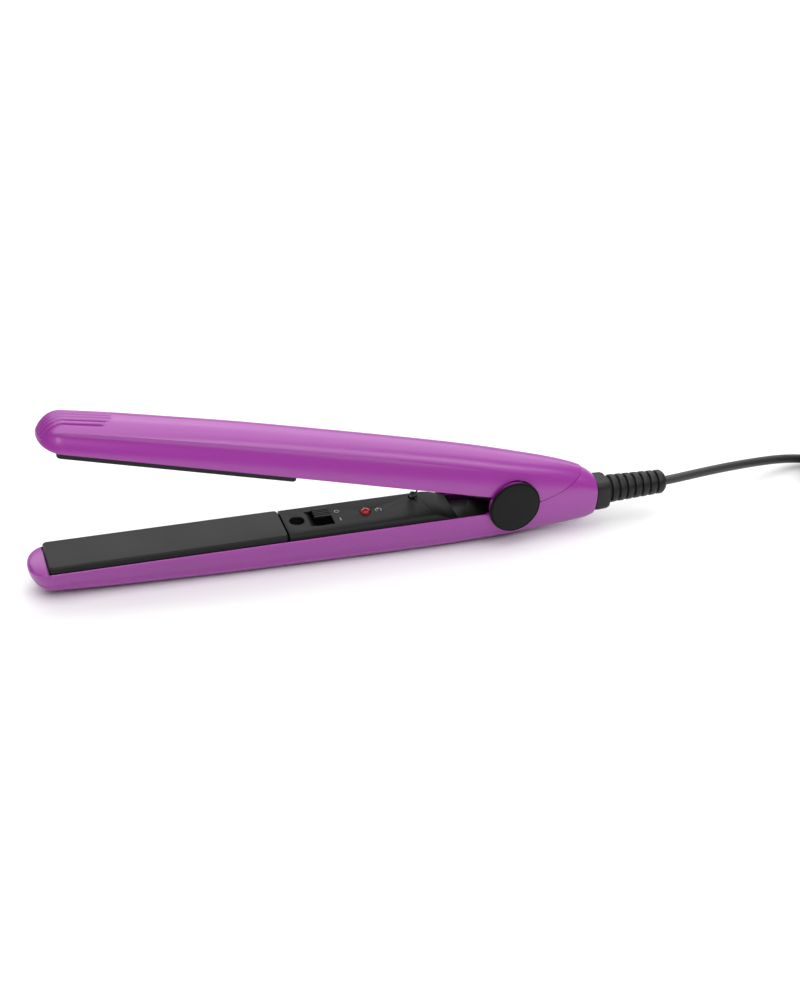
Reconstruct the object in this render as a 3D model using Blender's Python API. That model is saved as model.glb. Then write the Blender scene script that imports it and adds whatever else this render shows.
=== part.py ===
"""A small flat iron: two hinged arms with smooth heated plates, a slide switch and a mains cord.

Units are metres and +Z is up. The iron lies on the flattened belly of its lower arm, with the
arms open against their stop. Its tip points to -X, its cord leaves towards +X, and the middle of
its floor box is the origin. Each arm is modelled about the hinge axis, in a frame whose z = 0 is
the plane where the plates meet: the lower arm fills negative z and the upper arm positive z. Two
empties then set the arms to their slopes.
"""

import math

import bmesh
import bpy
from mathutils import Vector

MM = 0.001
LOWER = -1
UPPER = 1

# Where the hinge stands, and how the arms slope
HINGE_X = 59.64 * MM
BELLY_SLOPE = 0.01864  # the belly's fall per unit of length towards the hinge, in the arm's frame
BELLY_AT_HINGE = 17.77 * MM
ARM_TILT = math.atan(BELLY_SLOPE)
OPENING = math.radians(14.43)
HINGE_Z = BELLY_AT_HINGE * math.cos(ARM_TILT)

# Arm shells
HALF_WIDTH = 11.2 * MM
RIM = 2.35 * MM  # how far a shell's rim stays back from the plane where the plates meet
WALL = 1.6 * MM
LIP = 0.8 * MM
REBATE = 1.25 * MM  # depth of the step inside the rim that the plate and the panel sit in
TIP_X = -185.2 * MM
TIP_START = -176.0 * MM
TIP_LEVEL = 1.8 * MM  # how far below the rim the tip's nose is centred
TIP_SKIN = 0.15 * MM  # the tip's small flat end
NOSE_BACK = -178.9 * MM
NOSE_PLAN = 2.2  # exponent of the tip's outline seen from above, 2 being an ellipse
NOSE_FALL = 1.5  # how soon the tip's back falls away towards its edge
TAIL_X = 36.5 * MM
UPPER_END = 33.5 * MM
ROUNDNESS = 2.15  # exponent of the shells' cross-section, 2 being an ellipse
RING_POINTS = 22
SECTION_STEP = 13.0 * MM

# Height of a shell behind its rim, at places along the arm, as (x, height)
BACK_HEIGHTS = [
    (-176, 11.0), (-160, 12.2), (-140, 13.2), (-115, 14.3), (-85, 15.0), (-45, 15.6),
    (-20, 15.6), (0, 15.0), (14, 14.4), (24, 13.4), (33.5, 11.6), (38.5, 10.4),
]
# Half width of a shell along the arm, as (x, half width): it narrows towards the cord
SIDE_WIDTHS = [(-176, 11.2), (-14, 11.2), (0, 10.8), (10, 10.1), (20, 9.2), (30, 8.1), (38.5, 7.0)]
# Top of the tail's full body above the hinge, as (x, height), and the seam that parts the arms
TAIL_BOTTOMS = [(0, 15.0), (14, 14.5), (24, 14.0), (32.5, 13.5), (35.3, 12.9), (36.5, 12.3)]
TAIL_TOPS = [(0, 15.4), (10, 13.2), (20, 10.4), (28.5, 8.1), (33, 6.0), (36.5, 3.2)]
SEAM = [
    (-12, -2.0), (6, -1.4), (12, -0.4), (18.6, 1.4), (24.4, 3.6), (29.6, 6.3), (33.4, 9.2), (37, 13),
]
SEAM_GAP = 0.3 * MM

# Plates and what heats them
FACE = 0.1 * MM  # a plate's face stays this far from the plane where the two would touch
PLATE_FRONT = -178.3 * MM
PLATE_REAR = -89.2 * MM
PLATE_HALF = 10.0 * MM
PLATE_EDGE = 0.95 * MM
PLATE_BACK = 2.9 * MM
RIB_OUT = 5.9 * MM
RIB_IN = 4.9 * MM
RIB_DEPTH = 6.2 * MM
RIB_LIP = 3.9 * MM
HEATER_HALF = 4.5 * MM
TRAY_FRONT = -171.5 * MM
TRAY_REAR = -90.5 * MM

# Inner panels
PANEL_FRONT = -88.8 * MM
PANEL_SLOPE_X = -31.5 * MM
PANEL_END = -11.8 * MM
PANEL_STEP = -5.5 * MM  # height of the panel's low part ahead of the hinge
TONGUE_END = -7.4 * MM
TONGUE_HALF = 6.2 * MM
SCREW_X = -83.7 * MM
RECESS_RADIUS = 2.8 * MM
SWITCH_X = -73.7 * MM
SWITCH_SLOT = (7.2 * MM, 11.4 * MM)
SWITCH_TRAVEL = 4.6 * MM
LED_X = -56.7 * MM
LED_RADIUS = 1.95 * MM
SPRING_X = -36.0 * MM
SPRING_Y = 6.0 * MM
SPRING_SHIFT = 1.8 * MM  # how far the spring's upper end shifts in its pocket as the arms close
SPRING_RADIUS = 1.2 * MM
SPRING_SEAT = 1.9 * MM

# Hinge
PIN_RADIUS = 1.5 * MM
RUNNING = 0.1 * MM
EAR_RADIUS = 9.7 * MM
CAP_RADIUS = 10.5 * MM
CAP_TILT = math.radians(4.0)
CAP_FACE = 12.3 * MM
CAP_THICK = 1.1 * MM
EAR_FACE = 10.9 * MM
SLOT_HALF = 9.3 * MM
SLOT_FLOOR = -7.2 * MM
UPPER_EAR = (6.9 * MM, 8.9 * MM)

# Strain relief and cord
CORD_RADIUS = 1.85 * MM
SLEEVE_Z = -4.9 * MM
SLEEVE_END = 67.5 * MM
FLANGE = (36.8 * MM, 43.3 * MM)
CLEAR = 0.3 * MM

# The cord's route beyond the strain relief, in the part's own frame
ROUTE = [
    (0.1276, 0.0, 0.0141), (0.1335, 0.0008, 0.0141), (0.1425, 0.0032, 0.0135), (0.1525, 0.0064, 0.0124),
    (0.1635, 0.0102, 0.0108), (0.1750, 0.0143, 0.0088), (0.1865, 0.0184, 0.0065), (0.1955, 0.0212, 0.0045),
    (0.1998, 0.0220, 0.0036), (0.2042, 0.0222, 0.0029),
]
HANK_CENTRE = (0.2450, 0.0060)
HANK_RUN = 60.0 * MM
HANK_HALF_WIDTH = 17.5 * MM
HANK_HEIGHT = 19.0 * MM
HANK_LANE = 14.95 * MM  # how far the hank's outer strands run from its middle line
TAIL_START = (0.2875, 0.0060)  # where the cord leaves the hank, as (x, z)
PLUG_X = 0.3042
PLUG_Z = 6.7 * MM


def smooth(stations, x):
    """The value at x of a smooth curve through (x, value) stations in millimetres, in metres."""
    x /= MM
    count = len(stations)
    if x <= stations[0][0]:
        return stations[0][1] * MM
    if x >= stations[-1][0]:
        return stations[-1][1] * MM
    i = max(k for k in range(count - 1) if stations[k][0] <= x)

    def slope(k):
        low, high = stations[max(k - 1, 0)], stations[min(k + 1, count - 1)]
        return (high[1] - low[1]) / (high[0] - low[0])

    (x0, y0), (x1, y1) = stations[i], stations[i + 1]
    span = x1 - x0
    u = (x - x0) / span
    value = (
        y0 * (1 + 2 * u) * (1 - u) ** 2
        + slope(i) * span * u * (1 - u) ** 2
        + y1 * u * u * (3 - 2 * u)
        - slope(i + 1) * span * u * u * (1 - u)
    )
    return value * MM


def material(name, colour, roughness, metallic=0.0):
    shader_material = bpy.data.materials.new(name)
    shader_material.use_nodes = True
    shader = shader_material.node_tree.nodes["Principled BSDF"]
    shader.inputs["Base Color"].default_value = (*colour, 1.0)
    shader.inputs["Roughness"].default_value = roughness
    shader.inputs["Metallic"].default_value = metallic
    return shader_material


def empty(name, location, tilt):
    frame = bpy.data.objects.new(name, None)
    bpy.context.collection.objects.link(frame)
    frame.location = location
    frame.rotation_euler.y = tilt
    return frame


def add(name, mesh_builder, look, parent):
    """One named object made from a bmesh, with its faces turned outwards."""
    bmesh.ops.recalc_face_normals(mesh_builder, faces=mesh_builder.faces)
    mesh = bpy.data.meshes.new(name)
    mesh_builder.to_mesh(mesh)
    mesh_builder.free()
    piece = bpy.data.objects.new(name, mesh)
    bpy.context.collection.objects.link(piece)
    piece.parent = parent
    mesh.materials.append(look)
    return piece


def cutter(name, mesh_builder, parent):
    piece = add(name, mesh_builder, LOOKS["cutter"], parent)
    piece.hide_render = True
    piece.display_type = "WIRE"
    return piece


def boolean(piece, other, operation):
    step = piece.modifiers.new(other.name, "BOOLEAN")
    step.operation = operation
    step.object = other
    step.solver = "EXACT"


def cut(piece, other):
    boolean(piece, other, "DIFFERENCE")


def join(piece, other):
    boolean(piece, other, "UNION")


def loft(rings):
    """A closed solid through rings of equally many points, with flat ends."""
    builder = bmesh.new()
    rows = [[builder.verts.new(point) for point in ring] for ring in rings]
    for low, high in zip(rows, rows[1:]):
        for i, corner in enumerate(low):
            j = (i + 1) % len(low)
            builder.faces.new((corner, low[j], high[j], high[i]))
    builder.faces.new(rows[0])
    builder.faces.new(rows[-1])
    return builder


def box(x, y, z):
    """A box between two corners, given as (low, high) for each axis."""
    return loft([[(x[k], y[0], z[0]), (x[k], y[1], z[0]), (x[k], y[1], z[1]), (x[k], y[0], z[1])]
                 for k in (0, 1)])


def prism_along_x(outline, x):
    return loft([[(end, y, z) for y, z in outline] for end in x])


def prism_along_y(outline, y):
    return loft([[(px, end, pz) for px, pz in outline] for end in y])


def circle(centre, radius, count=24):
    """Points of a circle in a plane, as pairs."""
    return [
        (centre[0] + radius * math.cos(2 * math.pi * k / count),
         centre[1] + radius * math.sin(2 * math.pi * k / count))
        for k in range(count)
    ]


def cylinder_z(centre, radius, z, count=24):
    return loft([[(x, y, end) for x, y in circle(centre, radius, count)] for end in z])


def cylinder_y(centre, radius, y, count=24):
    return loft([[(x, end, z) for x, z in circle(centre, radius, count)] for end in y])


def turned_x(profile, z, count=20):
    """A solid turned about a line along X at height z, from (x, radius) points."""
    return loft([[(x, ry, rz) for ry, rz in circle((0, z), radius, count)] for x, radius in profile])


def tube(name, route, radius, look, parent, resolution=1):
    """A round wire or cord along a route of points."""
    curve = bpy.data.curves.new(name, "CURVE")
    curve.dimensions = "3D"
    curve.bevel_depth = radius
    curve.bevel_resolution = resolution
    curve.use_fill_caps = True
    spline = curve.splines.new("POLY")
    spline.points.add(len(route) - 1)
    for point, place in zip(spline.points, route):
        point.co = (*place, 1.0)
    piece = bpy.data.objects.new(name, curve)
    bpy.context.collection.objects.link(piece)
    piece.parent = parent
    curve.materials.append(look)
    return piece


def smooth_route(points, step):
    """Evenly spaced points on a smooth curve through the given ones."""
    places = [Vector(p) for p in points]
    ends = [2 * places[0] - places[1], *places, 2 * places[-1] - places[-2]]
    fine = []
    for k in range(1, len(ends) - 2):
        before, start, end, after = ends[k - 1:k + 3]
        for part in range(12):
            u = part / 12
            fine.append(0.5 * (2 * start + (end - before) * u
                               + (2 * before - 5 * start + 4 * end - after) * u ** 2
                               + (3 * start - before - 3 * end + after) * u ** 3))
    fine.append(places[-1])
    length = sum((b - a).length for a, b in zip(fine, fine[1:]))
    count = max(2, round(length / step))
    route, walked, k = [fine[0]], 0.0, 0
    for part in range(1, count):
        target = length * part / count
        while walked + (fine[k + 1] - fine[k]).length < target:
            walked += (fine[k + 1] - fine[k]).length
            k += 1
        stretch = (fine[k + 1] - fine[k]).length
        route.append(fine[k].lerp(fine[k + 1], (target - walked) / stretch))
    return route + [fine[-1]]


def belly(x):
    """Depth of the lower arm's flattened belly at x, in the arm's frame."""
    return BELLY_AT_HINGE + BELLY_SLOPE * x


def shell_section(x, side, inset=0.0):
    """One ring of an arm's body at x: flat at the rim and rounded behind it."""
    nose = max(0.0, (TIP_START - x) / (TIP_START - TIP_X))
    shrink = max(0.0, 1 - nose ** NOSE_PLAN) ** (1 / NOSE_PLAN)
    half = (smooth(SIDE_WIDTHS, x) - inset) * shrink
    level = RIM + TIP_LEVEL * (1 - shrink)
    height = (smooth(BACK_HEIGHTS, x) - inset - TIP_LEVEL) * shrink ** NOSE_FALL + TIP_LEVEL * shrink
    ring = []
    for k in range(RING_POINTS + 1):
        angle = math.pi * k / RING_POINTS
        across = abs(math.cos(angle)) ** (2 / ROUNDNESS) * math.copysign(1, math.cos(angle))
        depth = level + height * math.sin(angle) ** (2 / ROUNDNESS)
        if side == LOWER:
            depth = min(depth, belly(x) - inset)
        ring.append((x, half * across, side * depth))
    return ring


def tip_stations():
    """Places along an arm's tip, closer together towards its end."""
    reach = TIP_START - TIP_X - TIP_SKIN
    return [TIP_START - reach * math.sin(math.radians(a)) for a in (90, 76, 62, 48, 34, 20)]


def even_stations(start, end):
    count = max(2, round((end - start) / SECTION_STEP))
    return [start + (end - start) * k / count for k in range(count + 1)]


def arm_body(end, side):
    places = tip_stations() + even_stations(TIP_START, end)
    return loft([shell_section(x, side) for x in places])


def tail_body(start, end, inset=0.0):
    """The closed body behind the hinge, rounded below and above."""
    rings = []
    for x in even_stations(start, end):
        half = smooth(SIDE_WIDTHS, x) - inset
        low = smooth(TAIL_BOTTOMS, x) - inset
        high = smooth(TAIL_TOPS, x) + RIM - inset
        ring = []
        for k in range(2 * RING_POINTS):
            angle = math.pi * k / RING_POINTS
            across = abs(math.cos(angle)) ** (2 / ROUNDNESS) * math.copysign(1, math.cos(angle))
            rise = abs(math.sin(angle)) ** (2 / ROUNDNESS)
            z = -RIM + (high if angle > math.pi else -low) * rise
            ring.append((x, half * across, max(z, -(belly(x) - inset))))
        rings.append(ring)
    return loft(rings)


def seam_block(offset, below):
    """Everything above, or below, the seam between the arms, as a cutter's outline."""
    line = [(x * MM, z * MM + offset) for x, z in SEAM]
    edge = -40 * MM if below else 40 * MM
    return prism_along_y(line + [(line[-1][0], edge), (line[0][0], edge)], (-20 * MM, 20 * MM))


def lower_housing(arm):
    shell = add("lower_housing", arm_body(2 * MM, LOWER), LOOKS["purple"], arm)
    tail = cutter("lower_tail_form", tail_body(-2 * MM, TAIL_X), arm)
    cut(tail, cutter("above_seam", seam_block(-SEAM_GAP / 2, below=False), arm))
    join(shell, tail)
    for end in (-1, 1):
        ear = cutter(f"ear_form_{end}", cylinder_y((0, 0), EAR_RADIUS, (-2.2 * MM, 0), 32), arm)
        face_sideways(ear, end, EAR_FACE)
        join(shell, ear)
    cut(shell, cutter("lower_hollow", lower_hollow(), arm))
    tail_hollow = cutter("tail_hollow", tail_body(-11 * MM, TAIL_X - 2.2 * MM, WALL), arm)
    cut(tail_hollow, cutter("above_tail_roof", seam_block(-SEAM_GAP / 2 - WALL, below=False), arm))
    cut(shell, tail_hollow)
    cut(shell, cutter("lower_rebate", rim_rebate(LOWER), arm))
    cut(shell, cutter("hinge_slot", box((-12 * MM, 9.5 * MM), (-SLOT_HALF, SLOT_HALF),
                                       (SLOT_FLOOR, 12 * MM)), arm))
    cut(shell, cutter("lower_pin_hole", cylinder_y((0, 0), PIN_RADIUS + RUNNING,
                                                  (-14 * MM, 14 * MM)), arm))
    hole = turned_x([(TAIL_X - 4 * MM, 3.5 * MM), (TAIL_X + 1 * MM, 3.5 * MM)], SLEEVE_Z)
    cut(shell, cutter("cord_hole", hole, arm))
    post = cutter("screw_post", cylinder_z((SCREW_X, 0), 2.8 * MM, (-15.6 * MM, -7.2 * MM)), arm)
    join(shell, post)
    cut(shell, cutter("post_hole", cylinder_z((SCREW_X, 0), 1.25 * MM, (-13.8 * MM, -7 * MM)), arm))


def lower_hollow():
    return loft([shell_section(x, LOWER, WALL) for x in
                 [-174 * MM, -160 * MM, -140 * MM, -115 * MM, -85 * MM, -45 * MM, -20 * MM, -9 * MM, 3 * MM]])


def rim_rebate(side):
    """The step inside a rim, and the clearance above the hollow, as one box."""
    z = sorted((side * (RIM + REBATE), side * (RIM - 3 * MM)))
    half = HALF_WIDTH - LIP
    return box((NOSE_BACK, -11 * MM), (-half, half), z)


def upper_housing(arm, lower_arm):
    shell = add("upper_housing", arm_body(UPPER_END, UPPER), LOOKS["purple"], arm)
    hollow = [-174, -160, -140, -115, -85, -45, -20, 0, 12, 22, 31.6]
    cut(shell, cutter("upper_hollow", loft([shell_section(x * MM, UPPER, WALL) for x in hollow]), arm))
    cut(shell, cutter("upper_rebate", rim_rebate(UPPER), arm))
    cut(shell, cutter("hinge_clearance", cylinder_y((0, 0), EAR_RADIUS + 0.6 * MM,
                                                   (-14 * MM, 14 * MM), 32), arm))
    cut(shell, cutter("below_seam", seam_block(SEAM_GAP / 2, below=True), lower_arm))


def plate_outline(side):
    """Cross-section of a heater plate: a face with rounded long edges over a lipped channel."""
    corner = [
        (PLATE_HALF - PLATE_EDGE * (1 - math.sin(a)), FACE + PLATE_EDGE * (1 - math.cos(a)))
        for a in (math.radians(d) for d in (0, 22.5, 45, 67.5, 90))
    ]
    half = corner + [
        (PLATE_HALF, PLATE_BACK), (RIB_OUT, PLATE_BACK), (RIB_OUT, RIB_DEPTH), (RIB_LIP, RIB_DEPTH),
        (RIB_LIP, RIB_DEPTH - 0.7 * MM), (RIB_IN, RIB_DEPTH - 0.7 * MM), (RIB_IN, PLATE_BACK - 0.8 * MM),
    ]
    return [(y, side * d) for y, d in half] + [(-y, side * d) for y, d in reversed(half)]


def heated_plate(name, side, arm):
    """A plate with its channel cut back at the front, its heater and the clip that presses it."""
    plate = add(f"{name}_plate", prism_along_x(plate_outline(side), (PLATE_FRONT, PLATE_REAR)),
                LOOKS["plate"], arm)
    cut(plate, cutter(f"{name}_plate_front", box(
        (PLATE_FRONT - 1 * MM, TRAY_FRONT), (-PLATE_HALF - 1 * MM, PLATE_HALF + 1 * MM),
        sorted((side * (PLATE_BACK - 0.02 * MM), side * 9 * MM))), arm))
    heater_x = (-166 * MM, -103 * MM)
    depth = (PLATE_BACK - 0.5 * MM, PLATE_BACK + 1.5 * MM)
    add(f"{name}_heater", box(heater_x, (-HEATER_HALF, HEATER_HALF), sorted(side * d for d in depth)),
        LOOKS["heater"], arm)
    clip = [(-4.5, 4.75), (-2.2, 5.05), (0, 5.15), (2.2, 5.05), (4.5, 4.75),
            (4.5, 5.1), (2.2, 5.4), (0, 5.45), (-2.2, 5.4), (-4.5, 5.1)]
    add(f"{name}_heater_clip", prism_along_x([(y * MM, side * d * MM) for y, d in clip],
                                            (-150 * MM, -118 * MM)), LOOKS["steel"], arm)


def plate_tray(name, side, arm, floor_depth):
    """The heat-proof tray round a plate's channel, open towards the plate and at its rear end."""
    inner, outer, floor = 6.2 * MM, 6.95 * MM, floor_depth
    outline = [(outer, 3.9 * MM), (outer, floor + 0.8 * MM), (-outer, floor + 0.8 * MM),
               (-outer, 3.9 * MM), (-inner, 3.9 * MM), (-inner, floor), (inner, floor), (inner, 3.9 * MM)]
    add(f"{name}_plate_tray", prism_along_x([(y, side * d) for y, d in outline],
                                           (TRAY_FRONT, TRAY_REAR)), LOOKS["tray"], arm)


def plate_cushions(arm):
    """Two silicone cushions that press the floating plate outwards."""
    for end, x in (("front", -160 * MM), ("rear", -104 * MM)):
        block = box((x - 4 * MM, x + 4 * MM), (-5.4 * MM, 5.4 * MM), (RIB_DEPTH + 0.25 * MM, 7.35 * MM))
        add(f"plate_cushion_{end}", block, LOOKS["silicone"], arm)


def lower_panel(arm):
    """The black cover behind the lower plate: screw recess, switch window and lamp hole."""
    top = -FACE
    side_view = [(PANEL_FRONT, top), (PANEL_SLOPE_X, top), (-22 * MM, -3.1 * MM),
                 (-21.4 * MM, PANEL_STEP), (PANEL_END, PANEL_STEP), (PANEL_END, PANEL_STEP - 1 * MM),
                 (-24 * MM, PANEL_STEP - 1 * MM), (-25 * MM, -4.6 * MM), (-30 * MM, -3.4 * MM),
                 (PANEL_FRONT, -3.4 * MM)]
    panel = add("lower_panel", prism_along_y(side_view, (-PLATE_HALF, PLATE_HALF)), LOOKS["black"], arm)
    join(panel, cutter("panel_tongue", box((PANEL_END - 1 * MM, TONGUE_END), (-TONGUE_HALF, TONGUE_HALF),
                                           (PANEL_STEP - 1 * MM, PANEL_STEP)), arm))
    for end in (-1, 1):
        edge = [(end * (PLATE_HALF + 1 * MM), 1 * MM), (end * (PLATE_HALF + 1 * MM), -1.2 * MM),
                (end * PLATE_HALF, -1.2 * MM), (end * (PLATE_HALF - 1.0 * MM), -FACE),
                (end * (PLATE_HALF - 1.0 * MM), 1 * MM)]
        cut(panel, cutter(f"panel_edge_{end}", prism_along_x(edge, (-95 * MM, -5 * MM)), arm))
    cut(panel, cutter("panel_pocket", box((-87.6 * MM, -40 * MM), (-8.4 * MM, 8.4 * MM),
                                         (-9 * MM, -1.7 * MM)), arm))
    for end in (-1, 1):
        y = sorted((end * 8.8 * MM, end * 12 * MM))
        cut(panel, cutter(f"panel_side_{end}", box((-95 * MM, 0), y, (-9 * MM, -3.3 * MM)), arm))
    boss = cutter("screw_boss", cylinder_z((SCREW_X, 0), 3.7 * MM, (-6.6 * MM, -0.6 * MM)), arm)
    join(panel, boss)
    cut(panel, cutter("screw_recess", cylinder_z((SCREW_X, 0), RECESS_RADIUS, (-5.0 * MM, 1 * MM)), arm))
    cut(panel, cutter("screw_way", cylinder_z((SCREW_X, 0), 1.3 * MM, (-8 * MM, -4 * MM)), arm))
    slot_x, slot_y = SWITCH_SLOT
    cut(panel, cutter("switch_window", box((SWITCH_X - slot_x / 2, SWITCH_X + slot_x / 2),
                                          (-slot_y / 2, slot_y / 2), (-4 * MM, 1 * MM)), arm))
    cut(panel, cutter("lamp_hole", cylinder_z((LED_X, 0), LED_RADIUS + CLEAR, (-4 * MM, 1 * MM)), arm))
    seat = cylinder_z((SPRING_X, SPRING_Y), SPRING_SEAT, (-2.6 * MM, 1 * MM))
    cut(panel, cutter("spring_seat", seat, arm))


def panel_screw(arm):
    """A pan-head screw through the panel's boss into the housing's post."""
    profile = [(-12.5, 0.9), (-4.75, 0.9), (-4.7, 2.1), (-3.6, 2.1), (-3.2, 1.5)]
    builder = loft([[(x, y, z * MM) for x, y in circle((SCREW_X, 0), r * MM, 16)]
                    for z, r in profile])
    add("panel_screw", builder, LOOKS["steel"], arm)


def switch(arm):
    half = 3.4 * MM
    body = add("switch_body", box((SWITCH_X - half, SWITCH_X + half), (-6.6 * MM, 6.6 * MM),
                                 (-5.7 * MM, -2.7 * MM)), LOOKS["black"], arm)
    cut(body, cutter("switch_groove", box((SWITCH_X - 1.2 * MM, SWITCH_X + 1.2 * MM),
                                         (-4.9 * MM, 4.9 * MM), (-4.2 * MM, -2 * MM)), arm))
    centre = SWITCH_TRAVEL / 2
    knob_x, knob_y = 3.2 * MM, 3.1 * MM
    knob = [(-knob_y, -2.4), (-knob_y, 0.5), (-knob_y + 0.4 * MM, 0.9), (knob_y - 0.4 * MM, 0.9),
            (knob_y, 0.5), (knob_y, -2.4)]
    slider = add("switch_slider", prism_along_x([(centre + y, z * MM) for y, z in knob],
                                               (SWITCH_X - knob_x, SWITCH_X + knob_x)),
                 LOOKS["glossy"], arm)
    stem = cutter("slider_stem", box((SWITCH_X - 0.9 * MM, SWITCH_X + 0.9 * MM),
                                    (centre - 2.3 * MM, centre + 2.3 * MM), (-3.9 * MM, -2.2 * MM)), arm)
    join(slider, stem)
    for place in (-1.4, 0, 1.4):
        cut(slider, cutter(f"grip_{place}", box((SWITCH_X - 4 * MM, SWITCH_X + 4 * MM),
                                               (centre + (place - 0.3) * MM, centre + (place + 0.3) * MM),
                                               (0.5 * MM, 2 * MM)), arm))


def circuit_board(arm):
    board = box((-79 * MM, -50 * MM), (-7.4 * MM, 7.4 * MM), (-7.3 * MM, -6.1 * MM))
    add("circuit_board", board, LOOKS["board"], arm)


def lamp(arm):
    """The power lamp: a red dome on a short collar."""
    steps = [(LED_RADIUS * math.cos(math.radians(a)), LED_RADIUS * 0.8 * math.sin(math.radians(a)))
             for a in (0, 22, 44, 66, 82)]
    rings = [[(x, y, -5.8 * MM) for x, y in circle((LED_X, 0), LED_RADIUS, 20)]]
    rings += [[(x, y, rise - 0.3 * MM) for x, y in circle((LED_X, 0), r, 20)] for r, rise in steps]
    add("power_lamp", loft(rings), LOOKS["red"], arm)


def upper_panel(arm):
    """The black inner cover of the upper arm, with the two ears that turn on the hinge pin."""
    side_view = [(PANEL_FRONT, 2.4), (-20 * MM, 2.4), (-20 * MM, 4.3), (PANEL_FRONT, 4.3)]
    panel = add("upper_panel", prism_along_y([(x, z * MM) for x, z in side_view],
                                            (-9.1 * MM, 9.1 * MM)), LOOKS["black"], arm)
    for end in (-1, 1):
        y = sorted((end * UPPER_EAR[0], end * UPPER_EAR[1]))
        arc = [(6.4 * MM * math.cos(a), 6.4 * MM * math.sin(a))
               for a in (math.radians(d) for d in range(-120, 91, 15))]
        outline = arc + [(-6 * MM, 6.6 * MM), (-26 * MM, 5.6 * MM), (-30 * MM, 2.7 * MM),
                         (-20 * MM, 1.2 * MM), (-9 * MM, 0.6 * MM), (-6.4 * MM, -1 * MM)]
        ear = cutter(f"ear_{end}", prism_along_y(outline, y), arm)
        join(panel, ear)
    cut(panel, cutter("ear_bores", cylinder_y((0, 0), 2.9 * MM, (-12 * MM, 12 * MM)), arm))
    for place, shift in (("open", 0.0), ("closed", SPRING_SHIFT)):
        seat = cylinder_z((SPRING_X + shift, SPRING_Y), SPRING_SEAT, (0, 3.7 * MM))
        cut(panel, cutter(f"spring_seat_{place}", seat, arm))


def hinge(arm, upper_arm):
    pin = cylinder_y((0, 0), PIN_RADIUS, (-10.3 * MM, 10.3 * MM))
    add("hinge_pin", pin, LOOKS["steel"], arm)
    for end, name in ((-1, "near"), (1, "far")):
        y = [end * UPPER_EAR[0], end * UPPER_EAR[1]]
        rings = []
        for radius, place in ((2.75 * MM, y[0]), (2.75 * MM, y[1]),
                              (PIN_RADIUS + RUNNING, y[1]), (PIN_RADIUS + RUNNING, y[0])):
            rings.append([(x, place, z) for x, z in circle((0, 0), radius)])
        add(f"hinge_bush_{name}", ring_solid(rings), LOOKS["steel"], upper_arm)
        cap = loft([[(x, place, z) for x, z in circle((0, 0), radius, 40)] for radius, place in (
            (CAP_RADIUS, -CAP_THICK), (CAP_RADIUS, -0.35 * MM), (CAP_RADIUS - 0.35 * MM, 0.0),
            (0.5 * CAP_RADIUS, 0.1 * MM))])
        face_sideways(add(f"hinge_cap_{name}", cap, LOOKS["cap"], arm), end, CAP_FACE)


def face_sideways(piece, end, reach):
    """Turns a disc made facing +Y to an arm's side, square to the narrowing wall."""
    piece.location.y = end * reach
    piece.rotation_euler.z = -CAP_TILT if end > 0 else math.pi + CAP_TILT


def ring_solid(rings):
    """A ring-shaped solid through rings that close on themselves."""
    builder = bmesh.new()
    rows = [[builder.verts.new(point) for point in ring] for ring in rings]
    for low, high in zip(rows, rows[1:] + rows[:1]):
        for i, corner in enumerate(low):
            j = (i + 1) % len(low)
            builder.faces.new((corner, low[j], high[j], high[i]))
    return builder


def opening_spring(arm):
    """The coil spring between the arms, seated in a pocket of each inner panel."""
    start = Vector((SPRING_X, SPRING_Y, -2.1 * MM))
    end = Vector((SPRING_X * math.cos(OPENING), SPRING_Y, -SPRING_X * math.sin(OPENING))) + Vector(
        (2.8 * MM * math.sin(OPENING), 0, 2.8 * MM * math.cos(OPENING)))
    turns, steps = 8, 12
    route = []
    for k in range(turns * steps + 1):
        share = k / (turns * steps)
        angle = 2 * math.pi * k / steps
        middle = start.lerp(end, share)
        route.append(middle + SPRING_RADIUS * Vector((math.cos(angle), math.sin(angle), 0)))
    tube("opening_spring", route, 0.3 * MM, LOOKS["steel"], arm)


def strain_relief(arm):
    """The moulded bushing that carries the cord out of the tail: neck, flange and ribbed sleeve."""
    collar = TAIL_X / MM - 2.5
    neck = [(collar - 0.4, 4.6), (collar, 4.6), (collar, 3.2), (collar + 4, 3.2)]
    sleeve_start, sleeve_end = FLANGE[1] / MM, SLEEVE_END / MM
    rings = 7
    pitch = (sleeve_end - sleeve_start - 2.0) / rings
    profile = list(neck)
    profile += [(collar + 4, 5.0)]
    for k in range(rings):
        x = sleeve_start + pitch * k
        radius = 5.55 - 0.7 * k / (rings - 1)
        profile += [(x + 0.25, radius - 0.85), (x + 0.95, radius - 0.85),
                    (x + 1.15, radius), (x + pitch, radius)]
    profile += [(sleeve_end - 1.0, 4.6), (sleeve_end - 0.3, 3.8), (sleeve_end, 2.6)]
    body = add("strain_relief", turned_x([(x * MM, r * MM) for x, r in profile], SLEEVE_Z),
               LOOKS["rubber"], arm)
    half, corner = 6.2 * MM, 2.8 * MM
    outline = []
    for quarter in range(4):
        for a in (0, 30, 60, 90):
            angle = math.radians(90 * quarter + a)
            sy = 1 if quarter in (0, 3) else -1
            sz = 1 if quarter in (0, 1) else -1
            outline.append((sy * (half - corner) + corner * math.cos(angle),
                            SLEEVE_Z - 0.4 * MM + sz * (half - corner) + corner * math.sin(angle)))
    join(body, cutter("flange_form", prism_along_x(outline, FLANGE), arm))


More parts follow.
